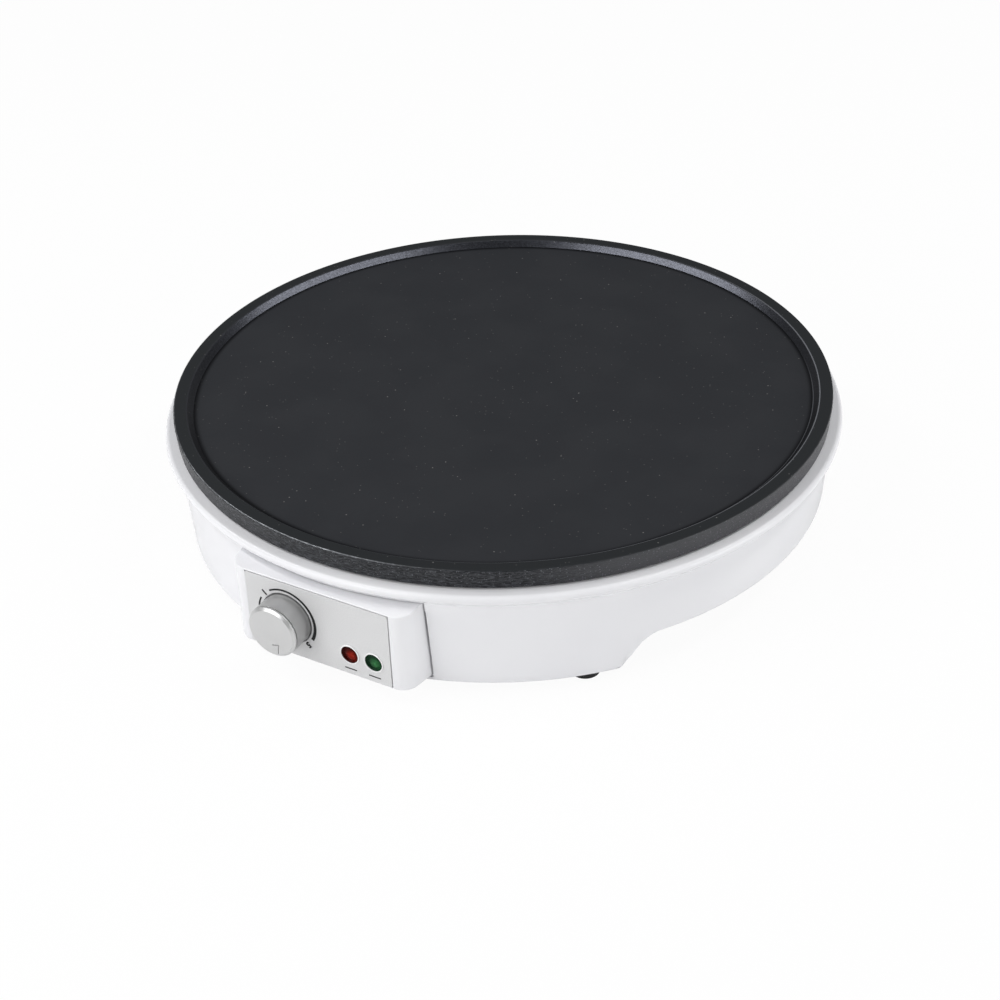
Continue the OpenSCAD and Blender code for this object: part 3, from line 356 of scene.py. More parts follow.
class Value:
    """A number socket that adds its Math nodes as it is used in a sum."""

    def __init__(self, finish, socket):
        self.finish = finish
        self.socket = socket

    def _sum(self, operation, *terms):
        made = self.finish.node('ShaderNodeMath', {'operation': operation}, *terms)
        return Value(self.finish, made.outputs[0])

    def __add__(self, other): return self._sum('ADD', self, other)
    def __radd__(self, other): return self._sum('ADD', other, self)
    def __sub__(self, other): return self._sum('SUBTRACT', self, other)
    def __rsub__(self, other): return self._sum('SUBTRACT', other, self)
    def __mul__(self, other): return self._sum('MULTIPLY', self, other)
    def __rmul__(self, other): return self._sum('MULTIPLY', other, self)
    def __truediv__(self, other): return self._sum('DIVIDE', self, other)
    def __rtruediv__(self, other): return self._sum('DIVIDE', other, self)
    def sqrt(self): return self._sum('SQRT', self)
    def above(self, other): return self._sum('GREATER_THAN', self, other)

    def ramp(self, low, high):
        """A smooth step from 0 at one value to 1 at another."""
        made = self.finish.node('ShaderNodeMapRange', {'interpolation_type': 'SMOOTHSTEP'}, self, low, high)
        return Value(self.finish, made.outputs[0])


class Finish:
    """A material with one Principled surface."""

    def __init__(self, name, **constants):
        self.material = bpy.data.materials.new(name)
        self.material.use_nodes = True
        self.tree = self.material.node_tree
        self.surface = self.tree.nodes["Principled BSDF"]
        for key, value in constants.items():
            self.surface.inputs[key.replace('_', ' ').title().replace('Ior', 'IOR')].default_value = value
        self.place = self.node('ShaderNodeTexCoord').outputs['Object']

    def node(self, kind, settings=None, *values, **named):
        """Adds a node: its settings first, then the values or links of its sockets."""
        made = self.tree.nodes.new(kind)
        for key, value in (settings or {}).items():
            setattr(made, key, value)
        pairs = list(enumerate(values)) + [(k.replace('_', ' '), v) for k, v in named.items()]
        for key, value in pairs:
            socket = made.inputs[key]
            value = getattr(value, 'socket', value)
            if isinstance(value, bpy.types.NodeSocket):
                self.tree.links.new(value, socket)
            else:
                socket.default_value = value
        return made

    def drive(self, socket, value):
        """Links a value to one of the surface's sockets."""
        self.tree.links.new(getattr(value, 'socket', value), self.surface.inputs[socket])

    def at(self, scale=(1, 1, 1), turn=(0, 0, 0), move=(0, 0, 0)):
        """Object coordinates, moved, turned and scaled."""
        return self.node('ShaderNodeMapping', None, self.place, move, turn, scale).outputs[0]

    def split(self):
        """The three object coordinates as values."""
        parts = self.node('ShaderNodeSeparateXYZ', None, self.place)
        return [Value(self, out) for out in parts.outputs]

    def noise(self, scale, detail=2.0, roughness=0.5, where=None):
        """Soft random variation between 0 and 1."""
        made = self.node('ShaderNodeTexNoise', None, Vector=where or self.place, Scale=scale,
                         Detail=detail, Roughness=roughness)
        return Value(self, made.outputs[0])

    def grains(self, scale, share, size):
        """Specks: 1 inside a share of the cells, 0 elsewhere."""
        cells = self.node('ShaderNodeTexVoronoi', {'feature': 'F1'}, Vector=self.place, Scale=scale)
        chance = Value(self, self.node('ShaderNodeSeparateColor', None, cells.outputs['Color']).outputs[0])
        near = Value(self, cells.outputs['Distance']).ramp(size, size * 0.5)
        return near * chance.above(1 - share)

    def mix(self, factor, low, high):
        """A colour between two colours."""
        made = self.node('ShaderNodeMix', {'data_type': 'RGBA'})
        for index, value in ((0, factor), (6, low), (7, high)):
            value = getattr(value, 'socket', value)
            if isinstance(value, bpy.types.NodeSocket):
                self.tree.links.new(value, made.inputs[index])
            elif index == 0:
                made.inputs[index].default_value = value
            else:
                made.inputs[index].default_value = (*value, 1)
        return made.outputs[2]

    def bump(self, height, depth):
        """Raises the surface by a height of 0 to 1 times a depth."""
        made = self.node('ShaderNodeBump', None, Distance=depth, Height=height)
        self.drive('Normal', made.outputs[0])


# ---- finishes ----


def nonstick_coating():
    """Charcoal coating with fine pale specks, satin on the rim's slope and brushed on the side, with
    painted shade at the slope's foot and painted highlights and sheen.
    """
    coat = Finish("nonstick_coating", specular_ior_level=0.32, coat_roughness=0.24, coat_ior=1.5)
    x, y, z = coat.split()
    radius = (x * x + y * y).sqrt()
    slope_top = surface_r + rim_slope
    below_rim = (z * -1).ramp(-rim_z + 0.05 * mm, -rim_z + 0.4 * mm)
    above_dish = z.ramp(surface_z - 0.2 * mm, surface_z)    # leaves out what is underneath
    slope = radius.ramp(surface_r - 0.05 * mm, surface_r + 0.1 * mm) * above_dish
    slope = slope * (1 - radius.ramp(slope_top - 0.5 * mm, slope_top))
    # painted shade: a dark ring on the cooking surface, up to the slope's foot, where the slope shades it
    foot = radius.ramp(surface_r - 3.5 * mm, surface_r) * above_dish
    foot = foot * foot * (1 - radius.ramp(surface_r, surface_r + 0.1 * mm)) * 0.8
    # painted highlights: pale lines along the slope's top and foot, stronger towards +X
    painted_glint = radius.ramp(slope_top - 0.35 * mm, slope_top - 0.2 * mm) * above_dish
    painted_glint = painted_glint * (1 - radius.ramp(slope_top + 0.1 * mm, slope_top + 0.3 * mm))
    painted_glint = painted_glint * x.ramp(-10 * mm, 140 * mm)
    painted_low_glint = radius.ramp(surface_r - 0.3 * mm, surface_r) * above_dish * x.ramp(105 * mm, 135 * mm)
    painted_low_glint = painted_low_glint * (1 - radius.ramp(surface_r + 0.1 * mm, surface_r + 0.4 * mm))
    painted_glint = painted_glint + painted_low_glint * 0.6
    # painted sheen: towards +X the side's streaks give way to a plain, lighter grey, and the bright edge
    # above them, a painted highlight, fades out there
    painted_sheen = x.ramp(75 * mm, 120 * mm)
    rim = radius.ramp(slope_top, slope_top + 0.6 * mm)
    # painted highlight: a pale, more metallic and glossier band along the side's top edge
    edge = radius.ramp(plate_r - 0.75 * mm, plate_r - 0.45 * mm) * (1 - below_rim)
    edge = edge * (1 - x.ramp(0 * mm, 70 * mm))
    side = radius.ramp(plate_r - 1.2 * mm, plate_r - 0.8 * mm) * below_rim

    turn = Value(coat, coat.node('ShaderNodeMath', {'operation': 'ARCTAN2'}, y, x).outputs[0]) * plate_r
    around = coat.node('ShaderNodeCombineXYZ', None, turn, z * 9, radius).outputs[0]
    streaks = coat.noise(300, 4, 0.8, around).ramp(0.47, 0.6)
    sparkle = coat.grains(1500, 0.16, 0.42)
    flake = coat.noise(1400, 2, 0.6).ramp(0.3, 0.7)
    cloud = coat.noise(30, 3)
    dark = coat.mix(cloud.ramp(0.35, 0.65), (0.0165, 0.018, 0.022), (0.0195, 0.021, 0.025))
    colour = coat.mix(rim, dark, (0.0105, 0.0125, 0.0145))
    # painted shade at the slope's foot
    colour = coat.mix(foot, colour, (0.004, 0.0045, 0.006))
    colour = coat.mix(slope, colour, coat.mix(flake, (0.042, 0.044, 0.051), (0.07, 0.073, 0.086)))
    brushed = coat.mix(streaks, (0.004, 0.005, 0.007), (0.068, 0.072, 0.082))
    # painted sheen on the side towards +X, mixed into its brushed colour
    brushed = coat.mix(painted_sheen, brushed, (0.06, 0.061, 0.067))
    colour = coat.mix(side, colour, brushed)
    # the painted highlights along the slope's top and foot
    colour = coat.mix(painted_glint, colour, (0.15, 0.155, 0.17))
    colour = coat.mix(sparkle * side * 0.35, colour, (0.4, 0.41, 0.45))
    # the painted highlight along the side's top edge
    colour = coat.mix(edge * (0.4 + streaks * 0.6), colour, (0.34, 0.35, 0.37))
    specks = coat.grains(380, 0.045, 0.15) * 0.5 + coat.grains(900, 0.03, 0.3) * 0.25
    colour = coat.mix(specks * (1 - side), colour, (0.3, 0.29, 0.28))
    coat.drive('Base Color', colour)
    coat.drive('Metallic', (slope + foot) * (1 - painted_glint) + side * 0.5 + edge)
    coat.drive('Coat Weight', side * 0.25)
    coat.drive('Roughness', 0.62 - side * 0.17 - slope * 0.36 - edge * 0.2 + coat.noise(500, 2) * 0.06)
    coat.bump(coat.noise(1500, 2) + side * streaks * 2.5, 0.02 * mm)
    return coat.material


def glossy_plastic(name, low, high, roughness=0.2):
    """Moulded plastic with a faint cloudiness and a very fine skin."""
    plastic = Finish(name, ior=1.46)
    plastic.drive('Base Color', plastic.mix(plastic.noise(18, 2).ramp(0.3, 0.7), low, high))
    plastic.drive('Roughness', roughness + plastic.noise(60, 3) * 0.08)
    plastic.bump(plastic.noise(900, 2), 0.004 * mm)
    return plastic.material


def satin_silver(name, low, high, roughness=0.4, metallic=0.35):
    """Silver paint with a fine metal flake."""
    silver = Finish(name, metallic=metallic)
    flake = silver.noise(2600, 2, 0.6)
    silver.drive('Base Color', silver.mix(flake.ramp(0.35, 0.65), low, high))
    silver.drive('Roughness', roughness + silver.noise(1200, 2) * 0.12)
    silver.bump(flake, 0.004 * mm)
    return silver.material


def knob_silver():
    """Silver paint, with painted shade that makes the knob's side darker than its face."""
    silver = Finish("knob_silver", metallic=0.75)
    _, y, _ = silver.split()
    # painted shade: the side gets a darker colour than the face, from the groove backwards
    painted_flank_shade = y.ramp(-knob_front + 1.5 * mm, -knob_front + 1.8 * mm)    # from the groove backwards
    sheen = silver.noise(160, 2)
    face = silver.mix(sheen, (0.64, 0.64, 0.64), (0.67, 0.67, 0.67))
    # the side's colour, darkened as painted shade
    side = silver.mix(sheen, (0.42, 0.42, 0.42), (0.5, 0.5, 0.5))
    silver.drive('Base Color', silver.mix(painted_flank_shade, face, side))
    silver.drive('Roughness', 0.28 + silver.noise(1200, 2) * 0.1)
    silver.bump(silver.noise(2600, 2, 0.6), 0.004 * mm)
    return silver.material


def metal(name, low, high, roughness, grain=400, stretch=(1, 1, 1)):
    """Bare metal with a drawn or rolled grain."""
    bare = Finish(name, metallic=1.0)
    grain_value = bare.noise(grain, 3, 0.6, bare.at(stretch))
    bare.drive('Base Color', bare.mix(grain_value.ramp(0.3, 0.7), low, high))
    bare.drive('Roughness', roughness + grain_value * 0.15)
    bare.bump(grain_value, 0.01 * mm)
    return bare.material


def dull(name, low, high, roughness=0.7, grain=700, depth=0.02):
    """A dull, faintly grained solid: rubber, ceramic, sleeve or print."""
    skin = Finish(name)
    grain_value = skin.noise(grain, 3)
    skin.drive('Base Color', skin.mix(grain_value.ramp(0.3, 0.7), low, high))
    skin.drive('Roughness', roughness + grain_value * 0.15)
    skin.bump(grain_value, depth * mm)
    return skin.material


def lamp_glass(name, x, deep, bright):
    """Tinted lens with fine facets: painted shade deep at its rim and a painted glow off centre, towards +X
    and down.
    """
    glass = Finish(name, roughness=0.3, ior=1.45, specular_ior_level=0.08)
    px, _, pz = glass.split()
    # the painted glow's centre sits 0.7 mm towards +X and 0.5 mm down from the lens's middle
    dx, dz = px - x - 0.7 * mm, pz - lamp_z + 0.5 * mm
    radius = (dx * dx + dz * dz).sqrt() / lens_r
    facets = glass.noise(700, 2)
    painted_glow = (1 - radius.ramp(0.1, 0.85)) * (0.65 + facets.ramp(0.35, 0.65) * 0.35)
    glass.drive('Base Color', glass.mix(painted_glow, deep, bright))
    glass.drive('Roughness', 0.22 + facets * 0.1)
    return glass.material


finishes = {
    "nonstick_plate": nonstick_coating(),
    "element_tube": metal("oxidised_tube", (0.10, 0.095, 0.09), (0.2, 0.18, 0.17), 0.5, 300),
    "nickel_steel": metal("nickel_steel", (0.52, 0.5, 0.45), (0.62, 0.6, 0.55), 0.28),
    "white_ceramic": dull("white_ceramic", (0.78, 0.75, 0.68), (0.86, 0.84, 0.78), 0.45),
    "shield_aluminium": metal("rolled_aluminium", (0.66, 0.67, 0.68), (0.78, 0.79, 0.8), 0.3,
                              grain=160, stretch=(1, 12, 1)),
    "white_body": glossy_plastic("white_plastic", (0.83, 0.83, 0.855), (0.86, 0.86, 0.88)),
    "cover_plastic": dull("cover_plastic", (0.6, 0.6, 0.62), (0.68, 0.68, 0.7), 0.55, 500),
    "zinc_steel": metal("zinc_steel", (0.5, 0.5, 0.53), (0.64, 0.64, 0.66), 0.3),
    "black_rubber": dull("black_rubber", (0.012, 0.012, 0.012), (0.022, 0.022, 0.022), 0.75),
    "silver_panel": satin_silver("panel_silver", (0.67, 0.67, 0.675), (0.73, 0.73, 0.735), 0.42, 0.25),
    "dark_print": dull("dark_print", (0.006, 0.006, 0.007), (0.011, 0.011, 0.012), 0.75, 900, 0.002),
    "silver_knob": knob_silver(),
    "spring_steel": metal("spring_steel", (0.4, 0.4, 0.42), (0.5, 0.5, 0.52), 0.32),
    "brass_parts": metal("turned_brass", (0.62, 0.46, 0.2), (0.74, 0.58, 0.28), 0.28),
    "bronze_leaf": metal("bronze_leaf", (0.6, 0.36, 0.16), (0.7, 0.45, 0.22), 0.3),
    "bimetal": metal("bimetal", (0.42, 0.4, 0.36), (0.52, 0.49, 0.44), 0.38),
    "silver_contact": metal("silver_contact", (0.8, 0.8, 0.78), (0.88, 0.88, 0.86), 0.2),
    "bright_bezel": glossy_plastic("bezel_plastic", (0.86, 0.86, 0.87), (0.9, 0.9, 0.9), 0.2),
    "red_lens": lamp_glass("red_lens", lamp_xs[0], (0.035, 0.002, 0.001), (0.30, 0.012, 0.002)),
    "green_lens": lamp_glass("green_lens", lamp_xs[1], (0.006, 0.028, 0.012), (0.035, 0.17, 0.055)),
    "holder_plastic": dull("holder_plastic", (0.7, 0.7, 0.66), (0.78, 0.78, 0.74), 0.5),
    "clear_glass": dull("bulb_glass", (0.75, 0.72, 0.66), (0.85, 0.83, 0.78), 0.12, 300, 0.002),
    "black_gland": dull("black_gland", (0.014, 0.014, 0.015), (0.026, 0.026, 0.027), 0.62),
    "brown_wire": dull("brown_sleeve", (0.13, 0.045, 0.018), (0.18, 0.07, 0.03), 0.4),
    "black_wire": dull("black_sleeve", (0.015, 0.015, 0.015), (0.025, 0.025, 0.025), 0.4),
    "white_wire": dull("white_sleeve", (0.66, 0.66, 0.66), (0.74, 0.74, 0.74), 0.4),
    "blue_wire": dull("blue_sleeve", (0.02, 0.07, 0.3), (0.03, 0.1, 0.38), 0.4),
    "green_wire": dull("green_sleeve", (0.04, 0.25, 0.05), (0.08, 0.34, 0.08), 0.4),
    "red_wire": dull("red_sleeve", (0.45, 0.03, 0.02), (0.55, 0.05, 0.03), 0.4),
}

# ---- hotplate ----


def hotplate():
    """The cast plate: rimmed top, turned-down edge, and bosses and ribs underneath."""
    plate = lathe("hotplate", [
        (0, surface_z, 0), (surface_r, surface_z, 0.3 * mm), (surface_r + rim_slope, rim_z, 1.5 * mm),
        (plate_r, rim_z, 0.7 * mm), (plate_r - side_draft, side_z, 0.8 * mm),
        (plate_r - side_draft - rim_wall, side_z, 0.6 * mm),
        (plate_r - side_draft - rim_wall, under_z, 1.5 * mm), (0, under_z, 0)])
    boss_r, thread_r = 5 * mm, 2 * mm
    dish_top = shield_low.z + 0.6 * mm
    places = [(*bearing(angle, screw_r), deck_z + 0.6 * mm) for angle in screw_turns]
    places += [(knob_x, -102.8 * mm, dish_top), (45 * mm, 30 * mm, dish_top), (0, 55 * mm, dish_top)]
    bosses = []
    for x, y, low in places:
        boss = lathe("boss", [(0, low, 0), (boss_r, low, 0.4 * mm), (boss_r, under_z, 0.01 * mm),
                              (boss_r + 1 * mm, under_z + mm, 0), (0, under_z + mm, 0)], steps=32)
        bosses.append(place(boss, move=(x, y, 0)))
    add(plate, joined("bosses", bosses))
    ring_r = element_high.x - 3.5 * mm
    rib_off, rib_half = 4.8 * mm, 0.8 * mm
    rib_low, rib_top = under_z - 2.5 * mm, under_z + 0.5 * mm
    ribs = []
    for middle_r in (ring_r - rib_off, ring_r + rib_off):
        ribs.append(lathe("rib", [
            (middle_r - rib_half, rib_low, 0.3 * mm), (middle_r + rib_half, rib_low, 0.3 * mm),
            (middle_r + rib_half, rib_top, 0), (middle_r - rib_half, rib_top, 0)], steps=192, closed=True))
    ribs = joined("ribs", ribs)
    gap_half = 21 * mm                   # the ribs leave room for the element's ends
    cut(ribs, block((-gap_half, ring_r * 0.85, under_z - 4 * mm),
                    (gap_half, ring_r * 1.1, under_z + 2 * mm)))
    add(plate, ribs)
    threads = [upright_bar(thread_r, x, y, low - mm, under_z + 2 * mm, 32) for x, y, low in places]
    cut(plate, joined("threads", threads))
    fit(plate, "appliance", finishes["nonstick_plate"], ["cooking_plate"])


# ---- body ----


def body_outline():
    """The shell's section, from the skirt up over the lip and back down inside."""
    return [
        (skirt_r, skirt_z, 0.8 * mm), (grip_r, grip_z, 60 * mm), (wall_r, lip_low_z, 1 * mm),
        (lip_r, lip_edge_z, 2.4 * mm), (lip_r, lip_z - 0.4 * mm, 2.1 * mm),
        (seat_r + 2 * mm, lip_z, 3 * mm), (seat_r, lip_z, 0.4 * mm),
        (seat_r - 2 * mm, deck_z, 0.6 * mm), (deck_r, deck_z, 0.4 * mm),
        (deck_r, deck_z - deck_t, 0.4 * mm), (wall_r - wall_t, deck_z - deck_t, 3 * mm),
        (grip_r - wall_t, grip_z, 60 * mm), (skirt_r - wall_t, skirt_z, 0.5 * mm)]


def grip_cutter():
    """The arch of a hand grip, as a long bar along X."""
    far = grip_half + grip_run
    overrun, under = 9 * mm, skirt_z - 3 * mm
    inner_x, cutter_l = pocket_x - 20 * mm, 80 * mm
    corners = [(-far - overrun, under, 0), (far + overrun, under, 0), (far + overrun, skirt_z, 0),
               (far, skirt_z, 2.5 * mm), (grip_half, grip_z, 10 * mm), (-grip_half, grip_z, 10 * mm),
               (-far, skirt_z, 2.5 * mm), (-far - overrun, skirt_z, 0)]
    places = [(inner_x, y, z) for y, z, _ in corners]
    cutter = draw("grip_cutter", places)
    round_corners(cutter, places, [rounding for _, _, rounding in corners], 10)
    bpy.ops.mesh.select_all(action='SELECT')
    bpy.ops.mesh.edge_face_add()
    bpy.ops.mesh.select_all(action='SELECT')
    bpy.ops.mesh.extrude_region_move(TRANSFORM_OT_translate={"value": (cutter_l, 0, 0)})
    bpy.ops.mesh.select_all(action='SELECT')
    bpy.ops.mesh.normals_make_consistent(inside=False)
    return done(cutter)


def wall_core(gap):
    """The solid inside the wall's outer surface, grown by a gap."""
    lean = (wall_r - grip_r) / (lip_low_z - grip_z)
    top_r = wall_r + lean * (lip_z - lip_low_z)
    return lathe("wall_core", [
        (0, skirt_z - 3 * mm, 0), (skirt_r + gap, skirt_z - 3 * mm, 0), (skirt_r + gap, skirt_z, 0),
        (grip_r + gap, grip_z, 60 * mm), (top_r + gap, lip_z, 0), (0, lip_z, 0)])


def housing_block(inset, front):
    """The housing's outer shape, inset all round, up to a front face."""
    back_half = housing_half + housing_flare - inset
    low, high = housing_low.z + inset, housing_front_top - inset
    depth, middle_z = housing_back_y - front, (low + high) / 2
    piece = start("front_housing", bpy.ops.mesh.primitive_cube_add, size=1,
                  location=(0, front + depth / 2, middle_z), scale=(2 * back_half, depth, high - low))
    for y in (front, housing_back_y):
        pick(piece, 'verts', lambda v: v.co.z > middle_z and abs(v.co.y - y) < 0.1 * mm)
        bpy.ops.transform.translate(value=(0, 0, housing_slope * (y - housing_y)))
    pick(piece, 'verts', lambda v: abs(v.co.y - front) < 0.1 * mm)
    bpy.ops.transform.resize(value=((housing_half - inset) / back_half, 1, 1), center_override=(0, 0, 0))
    pick(piece, 'edges', lambda e: all(abs(v.co.y - front) < 0.1 * mm for v in e.verts)
         and abs(e.verts[0].co.z - e.verts[1].co.z) > 10 * mm)
    bpy.ops.mesh.bevel(offset=housing_corner - inset, segments=10, affect='EDGES')
    return piece


def front_housing():
    """The frame that stands out of the body around the panel, with a sloping top."""
    housing = housing_block(0, housing_y)
    pick(housing, 'edges', lambda e: len(e.link_faces) == 2 and e.calc_face_angle() > 0.6
         and not all(v.co.y > housing_back_y - 0.1 * mm for v in e.verts)
         and abs(e.verts[0].co.z - e.verts[1].co.z) < 10 * mm)
    bpy.ops.mesh.bevel(offset=0.5 * mm, segments=4, affect='EDGES')
    done(housing)
    hollow = done(housing_block(housing_t, panel_y + panel_t + housing_t))
    cut(housing, hollow)
    ear_r, ear_back, ear_front, thread_front = 2.8 * mm, 135 * mm, 152.6 * mm, 150.5 * mm
    add(housing, joined("ears", [front_bar(ear_r, x, z, ear_back, ear_front, 32) for x, z in ears]))
    cut(housing, wall_core(-0.6 * mm))
    threads = [front_bar(case_thread_r, x, z, ear_back, thread_front, 32) for x, z in ears]
    cut(housing, joined("ear_threads", threads))
    gap = 0.3 * mm                       # between the panel and the frame round it
    cut(housing, block((-panel_w / 2 - gap, panel_y - mm, panel_low.z - gap),
                       (panel_w / 2 + gap, panel_y + panel_t, panel_high.z + gap)))
    groove = block((-panel_w / 2 - gap, panel_y, panel_low.z - gap),
                   (panel_w / 2 + gap, panel_y + panel_t + 1 * mm, panel_high.z + gap))
    cut(groove, block((-panel_w / 2 + gap, panel_y - mm, panel_low.z + gap),
                      (panel_w / 2 - gap, panel_y + panel_t + 2 * mm, panel_high.z - gap)))
    cut(housing, groove)
    bore_back = 140 * mm
    cut(housing, front_bar(knob_hole_r, knob_x, knob_z, -panel_y - panel_t - 1 * mm, -panel_y))
    cut(housing, front_bar(spindle_hole_r, knob_x, knob_z, bore_back, -panel_y))
    for x in lamp_xs:
        cut(housing, front_bar(lamp_hole_r, x, lamp_z, bore_back, -panel_y))
    fit(housing, "appliance", finishes["white_body"], ["control_housing"])


def cut_housing_seat(shell):
    """Cuts the housing's bed into the wall, and a narrow slot down each of its sides."""
    seat = done(housing_block(-0.8 * mm, panel_y))
    slots = done(housing_block(-1.05 * mm, panel_y))
    cut(seat, wall_core(-1.4 * mm))
    cut(shell, seat)
    side_x, front, back = 60 * mm, panel_y - mm, housing_back_y + 2 * mm
    cut(slots, done(housing_block(0.3 * mm, front)),
        block((-side_x, front, panel_high.z - 2 * mm), (side_x, back, panel_high.z + 9 * mm)),
        block((-side_x, front, 0), (side_x, back, housing_low.z + 1 * mm)))
    cut(shell, slots)


def body():
    """The white shell: lip, wall and skirt, with grips, window, posts and bores."""
    shell = lathe("body", body_outline(), closed=True)
    right_grip = grip_cutter()
    left_grip = copied(right_grip, "left_grip", turn=(0, 0, 180))
    cut(shell, right_grip, left_grip)
    reopen(shell)

    def grip_edge(e):
        return (len(e.link_faces) == 2 and e.calc_face_angle() > 0.7 and abs(middle(e).x) > pocket_x
                and middle(e).z < grip_z + 0.1 * mm and abs(middle(e).y) < grip_half + grip_run + 9 * mm
                and any(abs(f.normal.z) > 0.3 or abs(f.normal.y) > 0.6 for f in e.link_faces))

    pick(shell, 'edges', grip_edge)
    bpy.ops.mesh.bevel(offset=0.5 * mm, segments=3, affect='EDGES', clamp_overlap=False)
    bpy.ops.object.mode_set(mode='OBJECT')
    low_post_turns, wing_post_turns = (30, 150, 210, 330), (90, 270)
    posts = [(*bearing(angle, post_r), cover_top) for angle in low_post_turns]
    posts += [(*bearing(angle, post_r), wing_top) for angle in wing_post_turns]
    shell_post_r, ear_post_r = 4.5 * mm, 4 * mm
    ear_post_back, ear_post_front = 138.9 * mm, 143.2 * mm
    screw_hole_r, ear_hole_r = 2.3 * mm, 1.8 * mm
    add(shell, joined("posts", [upright_bar(shell_post_r, x, y, low, deck_z - mm) for x, y, low in posts]
                      + [front_bar(ear_post_r, x, z, ear_post_back, ear_post_front, 32) for x, z in ears]))
    holes = [upright_bar(case_thread_r, x, y, low - mm, low + 12 * mm, 32) for x, y, low in posts]
    holes += [upright_bar(screw_hole_r, *bearing(angle, screw_r), deck_z - 4 * mm, deck_z + mm, 32)
              for angle in screw_turns]
    holes += [front_bar(ear_hole_r, x, z, 138 * mm, 152 * mm, 32) for x, z in ears]
    cut(shell, joined("holes", holes))
    cut_housing_seat(shell)
    cut(shell, block((-window_w / 2, panel_y, panel_z - window_h / 2),
                     (window_w / 2, -120 * mm, panel_z + window_h / 2)))
    # a flat round land for the cord's gland at the back, and its hole
    add(shell, front_bar(gland_r + 2 * mm, 0, gland_z, -wall_r - 1 * mm, -wall_r + 3 * mm + wall_t))
    cut(shell, front_bar(gland_r - 2 * mm, 0, gland_z, -wall_r - 2 * mm, -wall_r + 8 * mm))
    fit(shell, "appliance", finishes["white_body"], ["base_shell"])


# ---- panel, knob and lamps ----


def panel():
    """The silver plate with its openings for the knob and the lamps."""
    plate = start("panel", bpy.ops.mesh.primitive_cube_add, size=1,
                  location=(0, panel_y + panel_t / 2, panel_z), scale=(panel_w, panel_t, panel_h))
    pick(plate, 'edges', lambda e: abs(e.verts[0].co.y - e.verts[1].co.y) > panel_t / 2)
    bpy.ops.mesh.bevel(offset=0.9 * mm, segments=5, affect='EDGES')
    done(plate)
    cut(plate, front_bar(knob_hole_r, knob_x, knob_z, -panel_y - 2 * mm, -panel_y + mm, 128))
    for x in lamp_xs:
        cut(plate, front_bar(lamp_hole_r, x, lamp_z, -panel_y - 2 * mm, -panel_y + mm))
    reopen(plate)
    pick(plate, 'edges', lambda e: e.calc_face_angle() > 1
         and all(v.co.y < panel_y + 0.01 * mm for v in e.verts))
    bpy.ops.mesh.bevel(offset=0.18 * mm, segments=2, affect='EDGES')
    bpy.ops.object.mode_set(mode='OBJECT')
    fit(plate, "appliance", finishes["silver_panel"], ["control_panel"])


def knob():
    """The thermostat knob: a hollow cap on a hub, with a raised pointer in a recess."""
    hub_r = 5.5 * mm
    bore_r = 3.05 * mm
    wall = 1.6 * mm
    cap = knob_front - wall
    bore_end = knob_front - 2.5 * mm
    turned = lathe("knob_body", [
        (0, bore_end, 0), (bore_r, bore_end, 0), (bore_r, knob_back, 0.3 * mm),
        (hub_r, knob_back, 0.3 * mm), (hub_r, cap, 0.5 * mm), (knob_face_r - wall, cap, 0.8 * mm),
        (knob_face_r - wall, knob_back, 0.2 * mm), (knob_r, knob_back, 0.5 * mm),
        (knob_r, knob_front - 2.2 * mm, 0.1 * mm), (knob_r - 0.6 * mm, knob_front - 2.1 * mm, 0.08 * mm),
        (knob_face_r - 0.5 * mm, knob_front - 1.7 * mm, 0.08 * mm),
        (knob_face_r, knob_front - 1.6 * mm, 0.15 * mm),
        (knob_face_r, knob_front - 0.9 * mm, 0.35 * mm), (knob_face_r - 1.1 * mm, knob_front, 0.3 * mm),
        (0, knob_front, 0)], steps=160)
    place(turned, turn=(90, 0, 0), move=(knob_x, 0, knob_z))
    recess = pointer(2.1 * mm, 3.2 * mm, 0.6 * mm, 0)
    raised = pointer(1.7 * mm, 2.6 * mm, 1.2 * mm, 0.1 * mm)
    cut(turned, recess)
    add(turned, raised)
    fit(turned, "knob_assembly", finishes["silver_knob"], ["knob"])


def pointer(half, length, depth, proud):
    """A three-sided wedge on the knob's face, which points outwards at the rest angle."""
    rest_angle = -75
    wedge = start("pointer", bpy.ops.mesh.primitive_cylinder_add, vertices=3, radius=1, depth=1)
    done(wedge)
    wedge.scale = (half, length, depth)
    place(wedge)
    height = knob_front + proud - depth / 2 + 0.05 * mm
    place(wedge, turn=(0, 0, -90), move=(knob_face_r - 4.5 * mm, 0, height))
    place(wedge, turn=(0, 0, rest_angle))
    return place(wedge, turn=(90, 0, 0), move=(knob_x, 0, knob_z))


def dial_number(text, angle, radius, height):
    """A printed number on the dial, upright on its radius."""
    bpy.ops.object.text_add(location=(0, 0, 0))
    number = bpy.context.object
    number.name = "number_" + text
    number.data.body = text
    number.data.size = height
    number.data.align_x = 'CENTER'
    number.data.align_y = 'CENTER'
    number.data.extrude = 0.05 * mm
    number.data.offset = 0.17 * mm       # thickens the strokes
    number.data.resolution_u = 6
    bpy.ops.object.convert(target='MESH')
    place(number, turn=(0, 0, angle - 90))
    turn = math.radians(angle)
    x, z = knob_x + radius * math.cos(turn), knob_z + radius * math.sin(turn)
    return place(number, turn=(90, 0, 0), move=(x, panel_y - 0.05 * mm, z))


def print_marks():
    """Numbers at both ends of the heat scale and a short line under each lamp."""
    dial_r, digit_h = 14.3 * mm, 3.9 * mm
    marks = [dial_number("1", 136, dial_r, digit_h), dial_number("5", -46.7, dial_r, digit_h)]
    line_half, line_low, line_top = 2.9 * mm, panel_low.z + 2.5 * mm, panel_low.z + 3.0 * mm
    for x in lamp_xs:
        marks.append(block((x - line_half, panel_y - 0.1 * mm, line_low),
                           (x + line_half, panel_y, line_top)))
    fit(joined("print_marks", marks), "appliance", finishes["dark_print"])


